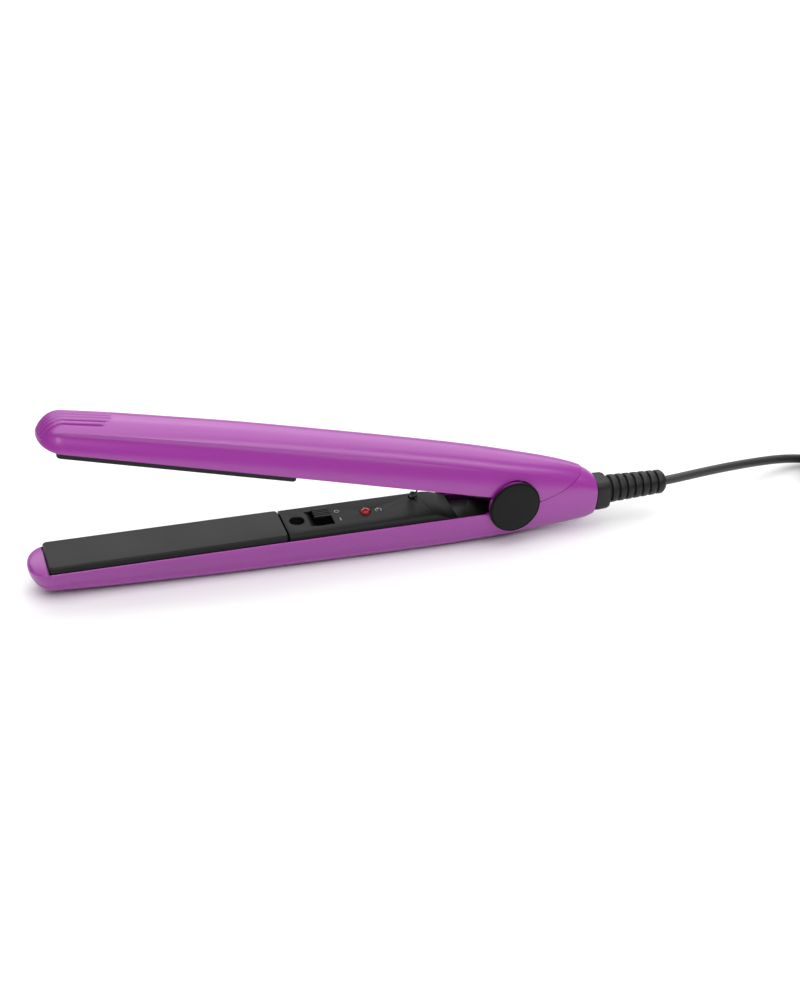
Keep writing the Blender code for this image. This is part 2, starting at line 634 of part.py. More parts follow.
def cord_anchor(arm):
    """The cable's end inside the tail, the bar that clamps it and the bar's two screws."""
    axis = SLEEVE_Z
    add("cable_end", turned_x([(19 * MM, CORD_RADIUS), (TAIL_X - 3.3 * MM, CORD_RADIUS)], axis, 16),
        LOOKS["rubber"], arm)
    low, high = axis - CORD_RADIUS - 2.0 * MM, axis - CORD_RADIUS - CLEAR
    clamp_x = (24 * MM, 29 * MM)
    add("cord_clamp", box(clamp_x, (-5.0 * MM, 5.0 * MM), (low, high)), LOOKS["black"], arm)
    for side, y in (("near", -3.6 * MM), ("far", 3.6 * MM)):
        screw = loft([[(x, py, z) for x, py in circle((26.5 * MM, y), radius, 12)]
                      for z, radius in ((high + CLEAR, 1.4 * MM), (high + 1.3 * MM, 1.4 * MM),
                                        (high + 1.6 * MM, 1.0 * MM))])
        add(f"clamp_screw_{side}", screw, LOOKS["steel"], arm)


def wiring(lower_arm, upper_arm):
    """Insulated leads inside the arms; the cord, board, heaters and hinge break them into runs."""
    radius = 0.6 * MM
    for side, name in ((-1, "near"), (1, "far")):
        runs = {
            "supply_lead": (lower_arm, [
                (18.6, 1.0, -5.2), (12, 2.4, -9.5), (0, 3.4, -11.8), (-20, 3.6, -11.6), (-40, 3.6, -9.6),
                (-49.2, 3.4, -6.8)]),
            "lower_heater_lead": (lower_arm, [
                (-79.6, 5.4, -6.7), (-84.5, 5.0, -6.2), (-88.4, 3.3, -4.7), (-94, 3.0, -4.3),
                (-102.4, 3.0, -3.9)]),
            "hinge_lead": (lower_arm, [
                (17.6, 3.4, -7.2), (10, 4.2, -4.6), (4.5, 4.4, -1), (2.6, 4.4, 2.8)]),
            "upper_heater_lead": (upper_arm, [
                (-102.4, 3.0, 3.9), (-94, 3.0, 4.3), (-88, 3.0, 5.2), (-80, 3.6, 6.8), (-40, 4.2, 7.6),
                (-12, 4.4, 7.4), (-1, 4.4, 5.2)]),
        }
        for run, (arm, points) in runs.items():
            route = smooth_route([(x, side * y, z) for x, y, z in points], 5.0)
            tube(f"{run}_{name}", [Vector(p) * MM for p in route], radius, LOOKS["wire"], arm)


def thermal_cutoff(arm):
    profile = [(-101.3, 0.5), (-100.6, 1.1), (-94.6, 1.1), (-93.9, 0.5)]
    add("thermal_cutoff", turned_x([(x * MM, r * MM) for x, r in profile], -3.6 * MM, 14),
        LOOKS["steel"], arm)


def cord():
    """The mains cord: a free stretch, then a tied hank, then the plug."""
    route = smooth_route(ROUTE, 3 * CORD_RADIUS)
    tube("cord", route, CORD_RADIUS, LOOKS["cord"], None, 2)
    cx, cy = HANK_CENTRE
    outline = []
    for turn, middle in ((-90, HANK_RUN / 2), (90, -HANK_RUN / 2)):
        for a in range(0, 181, 15):
            angle = math.radians(turn + a)
            outline.append((cx + middle + HANK_HALF_WIDTH * math.cos(angle),
                            cy + HANK_HALF_WIDTH * math.sin(angle)))
    builder = loft([[(x, y, z) for x, y in outline] for z in (0.0, HANK_HEIGHT)])
    add("cord_hank", builder, LOOKS["cord"], None)
    half = HANK_HALF_WIDTH + CLEAR
    tie = add("hank_tie", box((cx - 4 * MM, cx + 4 * MM), (cy - half - 1.2 * MM, cy + half + 1.2 * MM),
                              (0.0, HANK_HEIGHT + CLEAR + 1.2 * MM)), LOOKS["black"], None)
    cut(tie, cutter("tie_inside", box((cx - 9 * MM, cx + 9 * MM), (cy - half, cy + half),
                                      (-1 * MM, HANK_HEIGHT + CLEAR)), None))
    x, z = TAIL_START
    lane = cy + HANK_LANE
    tail = [(x, lane, z), ((x + PLUG_X) / 2, lane, (z + PLUG_Z) / 2), (PLUG_X - CLEAR, lane, PLUG_Z)]
    tube("cord_end", tail, CORD_RADIUS, LOOKS["cord"], None, 2)


def plug():
    """A flat two-blade plug lying on the floor, with its tapered neck."""
    cy = HANK_CENTRE[1] + HANK_LANE
    neck = [(0.0, 2.9), (1.0, 3.2), (9.0, 4.4), (12.0, 5.6), (13.5, 6.4)]
    builder = loft([[(PLUG_X + x * MM, cy + y, z) for y, z in circle((0, PLUG_Z), r * MM, 20)]
                    for x, r in neck])
    body = add("plug_body", builder, LOOKS["cord"], None)
    block = cutter("plug_block", box((PLUG_X + 12 * MM, PLUG_X + 31 * MM), (cy - 11.5 * MM, cy + 11.5 * MM),
                                     (0.2 * MM, 13.2 * MM)), None)
    bevel = block.modifiers.new("bevel", "BEVEL")
    bevel.width = 2.5 * MM
    bevel.segments = 3
    join(body, block)
    for name, y in (("near", cy - 6.35 * MM), ("far", cy + 6.35 * MM)):
        blade = box((PLUG_X + 31.3 * MM, PLUG_X + 47 * MM), (y - 0.75 * MM, y + 0.75 * MM),
                    (PLUG_Z - 3.15 * MM, PLUG_Z + 3.15 * MM))
        add(f"plug_blade_{name}", blade, LOOKS["brass"], None)


def looks():
    table = {
        "purple": ((0.32, 0.05, 0.33), 0.35, 0.0),
        "black": ((0.02, 0.02, 0.02), 0.5, 0.0),
        "glossy": ((0.01, 0.01, 0.01), 0.15, 0.0),
        "cap": ((0.02, 0.02, 0.02), 0.45, 0.0),
        "plate": ((0.07, 0.07, 0.07), 0.4, 0.6),
        "tray": ((0.12, 0.11, 0.1), 0.7, 0.0),
        "heater": ((0.8, 0.72, 0.5), 0.5, 0.0),
        "steel": ((0.6, 0.6, 0.62), 0.3, 1.0),
        "brass": ((0.75, 0.6, 0.3), 0.3, 1.0),
        "silicone": ((0.6, 0.6, 0.58), 0.7, 0.0),
        "rubber": ((0.015, 0.015, 0.015), 0.6, 0.0),
        "cord": ((0.015, 0.015, 0.015), 0.55, 0.0),
        "wire": ((0.6, 0.05, 0.04), 0.5, 0.0),
        "board": ((0.03, 0.2, 0.07), 0.5, 0.0),
        "red": ((0.6, 0.02, 0.03), 0.2, 0.0),
        "cutter": ((0.5, 0.5, 0.5), 0.5, 0.0),
    }
    return {name: material(name, *values) for name, values in table.items()}


for old in list(bpy.data.objects):
    bpy.data.objects.remove(old)
LOOKS = looks()
hinge_place = Vector((HINGE_X, 0, HINGE_Z))
lower_arm = empty("lower_arm", hinge_place, -ARM_TILT)
upper_arm = empty("upper_arm", hinge_place, OPENING - ARM_TILT)
lower_housing(lower_arm)
heated_plate("lower", LOWER, lower_arm)
plate_tray("lower", LOWER, lower_arm, 6.5 * MM)
lower_panel(lower_arm)
panel_screw(lower_arm)
switch(lower_arm)
circuit_board(lower_arm)
lamp(lower_arm)
thermal_cutoff(lower_arm)
hinge(lower_arm, upper_arm)
opening_spring(lower_arm)
strain_relief(lower_arm)
cord_anchor(lower_arm)
upper_housing(upper_arm, lower_arm)
heated_plate("upper", UPPER, upper_arm)
plate_tray("upper", UPPER, upper_arm, 7.6 * MM)
plate_cushions(upper_arm)
upper_panel(upper_arm)
wiring(lower_arm, upper_arm)
cord()
plug()
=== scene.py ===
"""The look of a small flat iron: shells, plates, controls, ribbed strain relief, cord and plug.

Everything is in metres. Each arm is modelled about the hinge axis, in a frame whose z = 0 is the
plane where the plates meet, with its tip towards -X. The lower arm fills negative z there and the
upper arm positive z. Depths are counted from that plane, so one function serves both arms.
"""

import math

import bmesh
import bpy
from mathutils import Matrix, Vector


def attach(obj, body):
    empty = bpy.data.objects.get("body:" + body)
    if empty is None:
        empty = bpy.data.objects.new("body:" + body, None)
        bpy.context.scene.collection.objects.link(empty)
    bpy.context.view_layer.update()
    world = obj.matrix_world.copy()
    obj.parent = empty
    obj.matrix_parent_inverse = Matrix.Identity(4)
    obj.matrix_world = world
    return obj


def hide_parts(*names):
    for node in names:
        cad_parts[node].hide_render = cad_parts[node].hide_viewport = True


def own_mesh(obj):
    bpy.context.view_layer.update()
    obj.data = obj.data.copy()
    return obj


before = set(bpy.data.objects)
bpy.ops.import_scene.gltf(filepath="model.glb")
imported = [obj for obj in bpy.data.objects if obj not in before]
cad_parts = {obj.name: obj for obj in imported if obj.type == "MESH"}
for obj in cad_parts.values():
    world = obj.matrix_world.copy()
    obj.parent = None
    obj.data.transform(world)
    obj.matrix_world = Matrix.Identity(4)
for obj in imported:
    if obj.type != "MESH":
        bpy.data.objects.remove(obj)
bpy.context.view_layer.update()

MM = 0.001
LOWER = -1
UPPER = 1
ENDS = ((-1, "near"), (1, "far"))

# Where the hinge stands, and how the arms slope
HINGE = Vector((0.05964, 0.0, 0.0177669))
BELLY_SLOPE = 0.01864
BELLY_AT_HINGE = 17.77 * MM
ARM_TILT = math.atan(BELLY_SLOPE)
OPENING = math.radians(14.43)

# Arm shells
RIM = 2.35 * MM
WALL = 1.6 * MM
LIP = 0.8 * MM
REBATE = 1.25 * MM
RIM_ROUNDING = 0.6 * MM
TIP_X = -185.2 * MM
TIP_START = -176.0 * MM
TIP_LEVEL = 1.8 * MM
TIP_SKIN = 0.1 * MM
NOSE_BACK = -178.9 * MM
NOSE_PLAN = 2.2
NOSE_FALL = 1.5
NOSE_CROWN = 1.15 * MM  # how far the tip's inner face swells towards the other arm
TAIL_X = 36.5 * MM
TAIL_WALL = 2.2 * MM
TAIL_BORE = 3.5 * MM
EAR_GAP = (-12 * MM, 9.5 * MM)
LOWER_HOLLOW = (-174, -160, -140, -115, -85, -45, -20, -9, 3)
UPPER_HOLLOW = (-174, -160, -140, -115, -85, -45, -20, 0, 12, 22, 31.6)
UPPER_END = 33.5 * MM
ROUNDNESS = 2.15
HALF_WIDTH = 11.2 * MM
BACK_HEIGHTS = [
    (-176, 11.0), (-160, 12.2), (-140, 13.2), (-115, 14.3), (-85, 15.0), (-45, 15.6),
    (-20, 15.6), (0, 15.0), (14, 14.4), (24, 13.4), (33.5, 11.6), (38.5, 10.4),
]
SIDE_WIDTHS = [(-176, 11.2), (-14, 11.2), (0, 10.8), (10, 10.1), (20, 9.2), (30, 8.1), (38.5, 7.0)]
TAIL_BOTTOMS = [(0, 15.0), (14, 14.5), (24, 14.0), (32.5, 13.5), (35.3, 12.9), (36.5, 12.3)]
TAIL_TOPS = [(0, 15.4), (10, 13.2), (20, 10.4), (28.5, 8.1), (33, 6.0), (36.5, 3.2)]
SEAM = [
    (-12, -2.0), (6, -1.4), (12, -0.4), (18.6, 1.4), (24.4, 3.6), (29.6, 6.3), (33.4, 9.2), (37, 13),
]
SEAM_GAP = 0.35 * MM

# The soft crease along an arm's shoulder, and the finger grooves on the upper arm's nose
CREASE_TURN = math.radians(42)
CREASE_REACH = 12.5 * MM
CREASE_WIDTH = 2.6 * MM
CREASE_DEPTH = [(-186, 0.3), (-174, 1.15), (-120, 1.1), (-50, 0.8), (-5, 0.3), (20, 0.0)]
GROOVE_COUNT = 7
GROOVE_PITCH = 1.85 * MM
GROOVE_WIDTH = 0.4 * MM
GROOVE_DEPTH = 0.6 * MM
GROOVE_END = -160.0 * MM
GROOVE_STAGGER = 0.3 * MM

# Plates and inner panels
FACE = 0.1 * MM
PLATE_FRONT = -178.3 * MM
PLATE_REAR = -89.2 * MM
PLATE_HALF = 10.0 * MM
PLATE_EDGE = 0.95 * MM
PLATE_BACK = 2.9 * MM
RIB_DEPTH = 6.2 * MM
RIB_INSIDE = 3.9 * MM
RIB_OUTSIDE = 5.9 * MM
CHANNEL_HALF = 4.9 * MM
CUSHION_PLACES = (("front", -160 * MM), ("rear", -104 * MM))
CUSHION_LOW = 6.45 * MM
CUSHION_TOP = 7.35 * MM
PANEL_FRONT = -88.8 * MM
PANEL_SLOPE_X = -31.5 * MM
PANEL_END = -11.8 * MM
PANEL_STEP = -5.5 * MM
PANEL_INSIDE_HALF = 8.4 * MM
PANEL_SIDE_CUT = 8.8 * MM
TONGUE_END = -7.4 * MM
TONGUE_HALF = 6.2 * MM
SCREW_X = -83.7 * MM
RECESS_RADIUS = 2.8 * MM
POST_RADIUS = 2.8 * MM
POST_HOLE = 1.25 * MM
SWITCH_X = -73.7 * MM
SWITCH_SLOT = (7.2 * MM, 11.4 * MM)
SWITCH_TRAVEL = 4.6 * MM
KNOB_HALF = (3.2 * MM, 3.1 * MM)
LED_X = -56.7 * MM
LED_RADIUS = 1.95 * MM
SPRING_X = -36.0 * MM
SPRING_Y = 6.0 * MM
SPRING_RADIUS = 1.2 * MM
SPRING_SEAT = 1.8 * MM

# Hinge
EAR_RADIUS = 9.7 * MM
EAR_FACE = 10.9 * MM
SLOT_HALF = 9.3 * MM
SLOT_FLOOR = -7.2 * MM
PIN_HOLE = 1.6 * MM
CAP_RADIUS = 10.5 * MM
CAP_TILT = math.radians(4.0)
CAP_FACE = 12.3 * MM
CAP_THICK = 1.1 * MM

# Strain relief
SLEEVE_Z = -4.9 * MM
SLEEVE_END = 68.3 * MM
FLANGE = (36.8 * MM, 43.3 * MM)

# Cord, hank and plug, in the part's own frame
CORD_RADIUS = 1.85 * MM
LEAD = [
    (0.1276, 0.0000, 0.0141), (0.1335, 0.0008, 0.0141), (0.1425, 0.0032, 0.0135),
    (0.1525, 0.0064, 0.0124), (0.1635, 0.0102, 0.0108), (0.1750, 0.0143, 0.0088),
    (0.1865, 0.0184, 0.0065), (0.1955, 0.0212, 0.0045), (0.1998, 0.0220, 0.0036),
    (0.2045, 0.0222, 0.0028), (0.2092, 0.0216, 0.0022),
]
HANK_CENTRE = (0.2450, 0.0060)
HANK_RUN = 60.0 * MM
HANK_HALF_WIDTH = 17.5 * MM
HANK_HEIGHT = 19.0 * MM
INNER_LANE = 11.2 * MM
OUTER_LANE = 14.95 * MM
LAYER = 3.73 * MM
LAYERS = 5
PLUG_X = 0.3042
PLUG_Z = 6.7 * MM
PLUG_Y = HANK_CENTRE[1] + OUTER_LANE

# Camera
CAMERA_PLACE = Vector((-0.17987, -0.58249, 0.3755))
CAMERA_TURN = math.radians(18.65)
CAMERA_DROP = math.radians(30.05)
CAMERA_ROLL = math.radians(2.76)
CAMERA_LENS = 66.65

# Lights, as name, place, size and power in watts
SURROUND_STRENGTH = 0.24
LIGHT_TARGET = Vector((0, 0, 0.02))
LIGHTS = [
    ("back", (0.25, 1.2, 0.85), (2.6, 0.9), 13.0),
    ("overhead", (0.05, -0.05, 1.2), (2.6, 1.5), 26.0),
    ("strip", (0.35, -0.9, 0.95), (1.8, 0.14), 6.0),
]


def arm_place(side):
    """The matrix from an arm's own frame to the part's frame, at rest."""
    tilt = -ARM_TILT if side == LOWER else OPENING - ARM_TILT
    return Matrix.Translation(HINGE) @ Matrix.Rotation(tilt, 4, "Y")


# --- small tools -----------------------------------------------------------------------------


def smooth(stations, x):
    """The value at x of a smooth curve through (x, value) stations in millimetres, in metres."""
    x /= MM
    count = len(stations)
    if x <= stations[0][0]:
        return stations[0][1] * MM
    if x >= stations[-1][0]:
        return stations[-1][1] * MM
    i = max(k for k in range(count - 1) if stations[k][0] <= x)

    def slope(k):
        low, high = stations[max(k - 1, 0)], stations[min(k + 1, count - 1)]
        return (high[1] - low[1]) / (high[0] - low[0])

    (x0, y0), (x1, y1) = stations[i], stations[i + 1]
    span = x1 - x0
    u = (x - x0) / span
    value = (
        y0 * (1 + 2 * u) * (1 - u) ** 2
        + slope(i) * span * u * (1 - u) ** 2
        + y1 * u * u * (3 - 2 * u)
        - slope(i + 1) * span * u * u * (1 - u)
    )
    return value * MM


def step_up(x, low, high):
    """0 below low, 1 above high and smooth between them."""
    u = min(1.0, max(0.0, (x - low) / (high - low)))
    return u * u * (3 - 2 * u)


def spread(low, high, count):
    return [low + (high - low) * k / count for k in range(count + 1)]


def circle(centre, radius, count=48):
    return [
        (centre[0] + radius * math.cos(2 * math.pi * k / count),
         centre[1] + radius * math.sin(2 * math.pi * k / count))
        for k in range(count)
    ]


def loft(rings, closed_along=False):
    """A closed solid through rings of equally many points, with flat ends unless it closes."""
    builder = bmesh.new()
    rows = [[builder.verts.new(point) for point in ring] for ring in rings]
    pairs = list(zip(rows, rows[1:]))
    if closed_along:
        pairs.append((rows[-1], rows[0]))
    for low, high in pairs:
        for i, corner in enumerate(low):
            j = (i + 1) % len(low)
            builder.faces.new((corner, low[j], high[j], high[i]))
    if not closed_along:
        builder.faces.new(rows[0])
        builder.faces.new(rows[-1])
    bmesh.ops.recalc_face_normals(builder, faces=builder.faces)
    return builder


def box(x, y, z):
    return loft([[(x[k], y[0], z[0]), (x[k], y[1], z[0]), (x[k], y[1], z[1]), (x[k], y[0], z[1])]
                 for k in (0, 1)])


def prism_along_x(outline, x):
    return loft([[(end, y, z) for y, z in outline] for end in x])


def prism_along_y(outline, y):
    return loft([[(x, end, z) for x, z in outline] for end in y])


def turned_z(centre, profile, count=48):
    """A solid turned about a line along Z, from (z, radius) points."""
    return loft([[(x, y, z) for x, y in circle(centre, radius, count)] for z, radius in profile])


def turned_y(profile, count=64):
    """A solid turned about the Y axis, from (y, radius) points."""
    return loft([[(x, y, z) for x, z in circle((0, 0), radius, count)] for y, radius in profile])


def turned_x(profile, z, count=48):
    return loft([[(x, ry, rz) for ry, rz in circle((0, z), radius, count)] for x, radius in profile])


def rounded_square(centre, half, corner, steps=6):
    """Outline of a rounded rectangle, as pairs; half gives its two half sides."""
    points = []
    for quarter, (sy, sz) in enumerate(((1, 1), (-1, 1), (-1, -1), (1, -1))):
        for k in range(steps + 1):
            angle = math.radians(90 * quarter + 90 * k / steps)
            points.append((centre[0] + sy * (half[0] - corner) + corner * math.cos(angle),
                           centre[1] + sz * (half[1] - corner) + corner * math.sin(angle)))
    return points


def make(name, builder, place=None):
    """One object from a bmesh, standing at a place given by a matrix."""
    mesh = bpy.data.meshes.new(name)
    builder.to_mesh(mesh)
    builder.free()
    piece = bpy.data.objects.new(name, mesh)
    bpy.context.collection.objects.link(piece)
    if place is not None:
        piece.matrix_world = place
    return piece


def settle(piece):
    """Puts a piece's modifiers into its mesh."""
    bpy.context.view_layer.update()
    shaped = piece.evaluated_get(bpy.context.evaluated_depsgraph_get())
    mesh = bpy.data.meshes.new_from_object(shaped)
    piece.modifiers.clear()
    piece.data = mesh


def taken_back(piece):
    """A piece's solid for further carving, with the piece itself removed."""
    form = bmesh.new()
    form.from_mesh(piece.data)
    bpy.data.objects.remove(piece)
    return form


def carve(piece, builder, operation="DIFFERENCE"):
    """Cuts a solid out of a piece, or joins it on, both in the piece's own frame."""
    other = make("form", builder, piece.matrix_world.copy())
    step = piece.modifiers.new("form", "BOOLEAN")
    step.operation = operation
    step.object = other
    step.solver = "EXACT"
    settle(piece)
    bpy.data.objects.remove(other)


def soften(piece, width, segments=3, angle=35):
    """Rounds a piece's sharp edges."""
    step = piece.modifiers.new("soften", "BEVEL")
    step.width = width
    step.segments = segments
    step.limit_method = "ANGLE"
    step.angle_limit = math.radians(angle)
    step.harden_normals = False
    settle(piece)


def finish_piece(piece, body, slot, look, *nodes, sharp=32):
    """Shades a piece smooth, gives it its look and hangs it on its body."""
    mesh = piece.data
    mesh.materials.clear()
    mesh.materials.append(look)
    mesh.polygons.foreach_set("use_smooth", [True] * len(mesh.polygons))
    mesh.set_sharp_from_angle(angle=math.radians(sharp))
    if nodes:
        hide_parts(*nodes)
    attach(piece, body)
    return piece


# --- looks -----------------------------------------------------------------------------------


class Look:
    """A material whose colour, roughness and relief come from its nodes."""

    def __init__(self, name, metallic=0.0, specular=0.5, coat=0.0, coat_roughness=0.1):
        self.material = bpy.data.materials.new(name)
        self.material.use_nodes = True
        self.tree = self.material.node_tree
        self.shader = self.tree.nodes["Principled BSDF"]
        self.shader.inputs["Metallic"].default_value = metallic
        self.shader.inputs["Specular IOR Level"].default_value = specular
        self.shader.inputs["Coat Weight"].default_value = coat
        self.shader.inputs["Coat Roughness"].default_value = coat_roughness
        self.where = self.tree.nodes.new("ShaderNodeTexCoord").outputs["Object"]

    def noise(self, scale, detail=3.0, stretch=None):
        node = self.tree.nodes.new("ShaderNodeTexNoise")
        node.inputs["Scale"].default_value = scale
        node.inputs["Detail"].default_value = detail
        source = self.where
        if stretch is not None:
            mapping = self.tree.nodes.new("ShaderNodeMapping")
            mapping.inputs["Scale"].default_value = stretch
            self.tree.links.new(source, mapping.inputs["Vector"])
            source = mapping.outputs["Vector"]
        self.tree.links.new(source, node.inputs["Vector"])
        return node.outputs["Fac"]

    def ramp(self, source, stops):
        """Colours by a value, from (place, colour) stops."""
        node = self.tree.nodes.new("ShaderNodeValToRGB")
        elements = node.color_ramp.elements
        while len(elements) < len(stops):
            elements.new(0.5)
        for element, (place, colour) in zip(elements, stops):
            element.position = place
            element.color = (*colour, 1.0)
        self.tree.links.new(source, node.inputs["Fac"])
        return node.outputs["Color"]

    def colour(self, source):
        self.tree.links.new(source, self.shader.inputs["Base Color"])

    def roughness(self, source, low, high):
        node = self.tree.nodes.new("ShaderNodeMapRange")
        node.inputs["From Min"].default_value = 0.3
        node.inputs["From Max"].default_value = 0.7
        node.inputs["To Min"].default_value = low
        node.inputs["To Max"].default_value = high
        self.tree.links.new(source, node.inputs["Value"])
        self.tree.links.new(node.outputs["Result"], self.shader.inputs["Roughness"])

    def relief(self, source, distance, strength=1.0):
        node = self.tree.nodes.new("ShaderNodeBump")
        node.inputs["Distance"].default_value = distance
        node.inputs["Strength"].default_value = strength
        self.tree.links.new(source, node.inputs["Height"])
        self.tree.links.new(node.outputs["Normal"], self.shader.inputs["Normal"])


def shaded(colour, amount):
    return tuple(min(1.0, channel * amount) for channel in colour)


def moulded(name, colour, rough, grain, depth, spread_of_colour=0.06, **kind):
    """Moulded plastic or rubber: slightly cloudy colour, uneven gloss and a fine spark-eroded grain."""
    look = Look(name, **kind)
    cloud = look.noise(24, 2)
    look.colour(look.ramp(cloud, [(0.3, shaded(colour, 1 - spread_of_colour)),
                                  (0.7, shaded(colour, 1 + spread_of_colour))]))
    look.roughness(look.noise(36, 2), *rough)
    look.relief(look.noise(grain, 1), depth)
    return look.material


def drawn_metal(name, colour, rough, stretch=(1, 30, 30)):
    """Metal with fine marks along its length."""
    look = Look(name, metallic=1.0)
    marks = look.noise(180, 4, stretch)
    look.colour(look.ramp(marks, [(0.3, shaded(colour, 0.86)), (0.7, shaded(colour, 1.08))]))
    look.roughness(marks, *rough)
    look.relief(marks, 0.01 * MM)
    return look.material


def looks():
    return {
        "shell": moulded("satin_purple", (0.27, 0.02, 0.27), (0.28, 0.31), 420, 0.003 * MM, 0.02,
                         specular=0.75),
        "panel": moulded("satin_black", (0.007, 0.007, 0.007), (0.4, 0.48), 1400, 0.008 * MM,
                         specular=0.15),
        "slider": moulded("glossy_black", (0.003, 0.003, 0.003), (0.3, 0.4), 3000, 0.006 * MM,
                          specular=0.15),
        "cap": moulded("cap_black", (0.004, 0.004, 0.004), (0.4, 0.48), 1400, 0.006 * MM,
                       specular=0.16),
        "plate": moulded("plate_coating", (0.007, 0.007, 0.007), (0.4, 0.46), 3600, 0.006 * MM,
                         0.05, specular=0.2),
        "relief": moulded("soft_black", (0.007, 0.007, 0.007), (0.4, 0.5), 2600, 0.02 * MM,
                          specular=0.3),
        "cord": moulded("cord_jacket", (0.026, 0.026, 0.026), (0.4, 0.5), 1800, 0.02 * MM,
                        specular=0.4),
        "plug": moulded("plug_black", (0.012, 0.012, 0.012), (0.4, 0.55), 2200, 0.03 * MM,
                        specular=0.35),
        "tie": moulded("tie_black", (0.010, 0.010, 0.010), (0.4, 0.5), 2200, 0.02 * MM,
                       specular=0.35),
        "coil": moulded("blackened_wire", (0.03, 0.03, 0.03), (0.35, 0.45), 2600, 0.01 * MM,
                        specular=0.5),
        "mark": moulded("printed_grey", (0.5, 0.5, 0.5), (0.5, 0.6), 3000, 0.005 * MM),
        "tray": moulded("heatproof_grey", (0.12, 0.11, 0.1), (0.55, 0.7), 1800, 0.03 * MM),
        "cushion": moulded("silicone_grey", (0.5, 0.5, 0.48), (0.45, 0.6), 1500, 0.02 * MM),
        "lead": moulded("silicone_red", (0.5, 0.04, 0.035), (0.4, 0.5), 2600, 0.01 * MM),
        "heater": moulded("amber_film", (0.55, 0.26, 0.05), (0.25, 0.4), 900, 0.05 * MM, coat=0.5),
        "board": moulded("circuit_green", (0.02, 0.13, 0.05), (0.3, 0.45), 1400, 0.03 * MM, coat=0.4),
        "spring_steel": drawn_metal("spring_steel", (0.55, 0.55, 0.57), (0.25, 0.4)),
        "screw_steel": drawn_metal("plated_steel", (0.6, 0.6, 0.6), (0.22, 0.36), (12, 12, 12)),
        "bush": drawn_metal("turned_brass", (0.7, 0.52, 0.26), (0.25, 0.38)),
        "blade": drawn_metal("plated_blade", (0.72, 0.68, 0.6), (0.18, 0.3)),
        "lamp": lamp_look(),
        "bulb": bulb_look(),
    }


def lamp_look():
    """Clear red moulding that lets light through."""
    look = Look("red_lens", coat=0.6, coat_roughness=0.05)
    look.shader.inputs["Transmission Weight"].default_value = 0.25
    look.shader.inputs["IOR"].default_value = 1.49
    look.colour(look.ramp(look.noise(500, 2), [(0.3, (0.72, 0.02, 0.03)), (0.7, (0.82, 0.035, 0.045))]))
    look.roughness(look.noise(900, 2), 0.16, 0.24)
    look.relief(look.noise(2500, 2), 0.006 * MM)
    return look.material


def bulb_look():
    look = Look("lamp_core")
    look.colour(look.ramp(look.noise(900, 2), [(0.3, (0.2, 0.004, 0.006)), (0.7, (0.3, 0.008, 0.01))]))
    look.roughness(look.noise(900, 2), 0.3, 0.4)
    look.relief(look.noise(2500, 2), 0.004 * MM)
    return look.material


# --- camera, light and floor -----------------------------------------------------------------


def camera():
    """Looks down at the part from the near side, a little to the left, with a slight roll."""
    data = bpy.data.cameras.new("camera")
    data.lens = CAMERA_LENS
    data.sensor_width = 36
    data.clip_start = 0.01
    eye = bpy.data.objects.new("camera", data)
    bpy.context.collection.objects.link(eye)
    turn = Matrix.Rotation(-CAMERA_TURN, 4, "Z") @ Matrix.Rotation(math.pi / 2 - CAMERA_DROP, 4, "X")
    eye.matrix_world = Matrix.Translation(CAMERA_PLACE) @ turn @ Matrix.Rotation(CAMERA_ROLL, 4, "Z")
    bpy.context.scene.camera = eye


def area_light(name, place, size, power):
    """A white panel light at a place, turned towards the part."""
    data = bpy.data.lights.new(name, "AREA")
    data.shape = "RECTANGLE"
    data.size, data.size_y = size
    data.energy = power
    light = bpy.data.objects.new(name, data)
    bpy.context.collection.objects.link(light)
    light.location = place
    light.rotation_euler = (LIGHT_TARGET - Vector(place)).to_track_quat("-Z", "Y").to_euler()


def studio():
    """A pale floor, an even white surround, soft lights behind and above, and a strip in front."""
    world = bpy.data.worlds.new("surround")
    world.use_nodes = True
    surround = world.node_tree.nodes["Background"]
    surround.inputs["Color"].default_value = (1.0, 1.0, 1.0, 1.0)
    surround.inputs["Strength"].default_value = SURROUND_STRENGTH
    bpy.context.scene.world = world
    bpy.context.scene.view_settings.view_transform = "Standard"
    for light in LIGHTS:
        area_light(*light)
    floor = make("floor", box((-6, 6), (-6, 6), (-0.02, -0.0004)))
    look = Look("floor_paper")
    look.colour(look.ramp(look.noise(6, 3), [(0.3, (0.86, 0.86, 0.86)), (0.7, (0.88, 0.88, 0.88))]))
    look.roughness(look.noise(40, 3), 0.8, 0.9)
    floor.data.materials.append(look.material)


# --- cord ------------------------------------------------------------------------------------


def curve_through(points, step):
    """Evenly spaced points on a smooth curve through the given ones."""
    places = [Vector(p) for p in points]
    ends = [2 * places[0] - places[1], *places, 2 * places[-1] - places[-2]]
    fine = []
    for k in range(1, len(ends) - 2):
        before, start, end, after = ends[k - 1:k + 3]
        for part in range(12):
            u = part / 12
            fine.append(0.5 * (2 * start + (end - before) * u
                               + (2 * before - 5 * start + 4 * end - after) * u ** 2
                               + (3 * start - before - 3 * end + after) * u ** 3))
    fine.append(places[-1])
    length = sum((b - a).length for a, b in zip(fine, fine[1:]))
    count = max(2, round(length / step))
    route, walked, k = [fine[0]], 0.0, 0
    for part in range(1, count):
        target = length * part / count
        while walked + (fine[k + 1] - fine[k]).length < target:
            walked += (fine[k + 1] - fine[k]).length
            k += 1
        stretch = (fine[k + 1] - fine[k]).length
        route.append(fine[k].lerp(fine[k + 1], (target - walked) / stretch))
    return route + [fine[-1]]


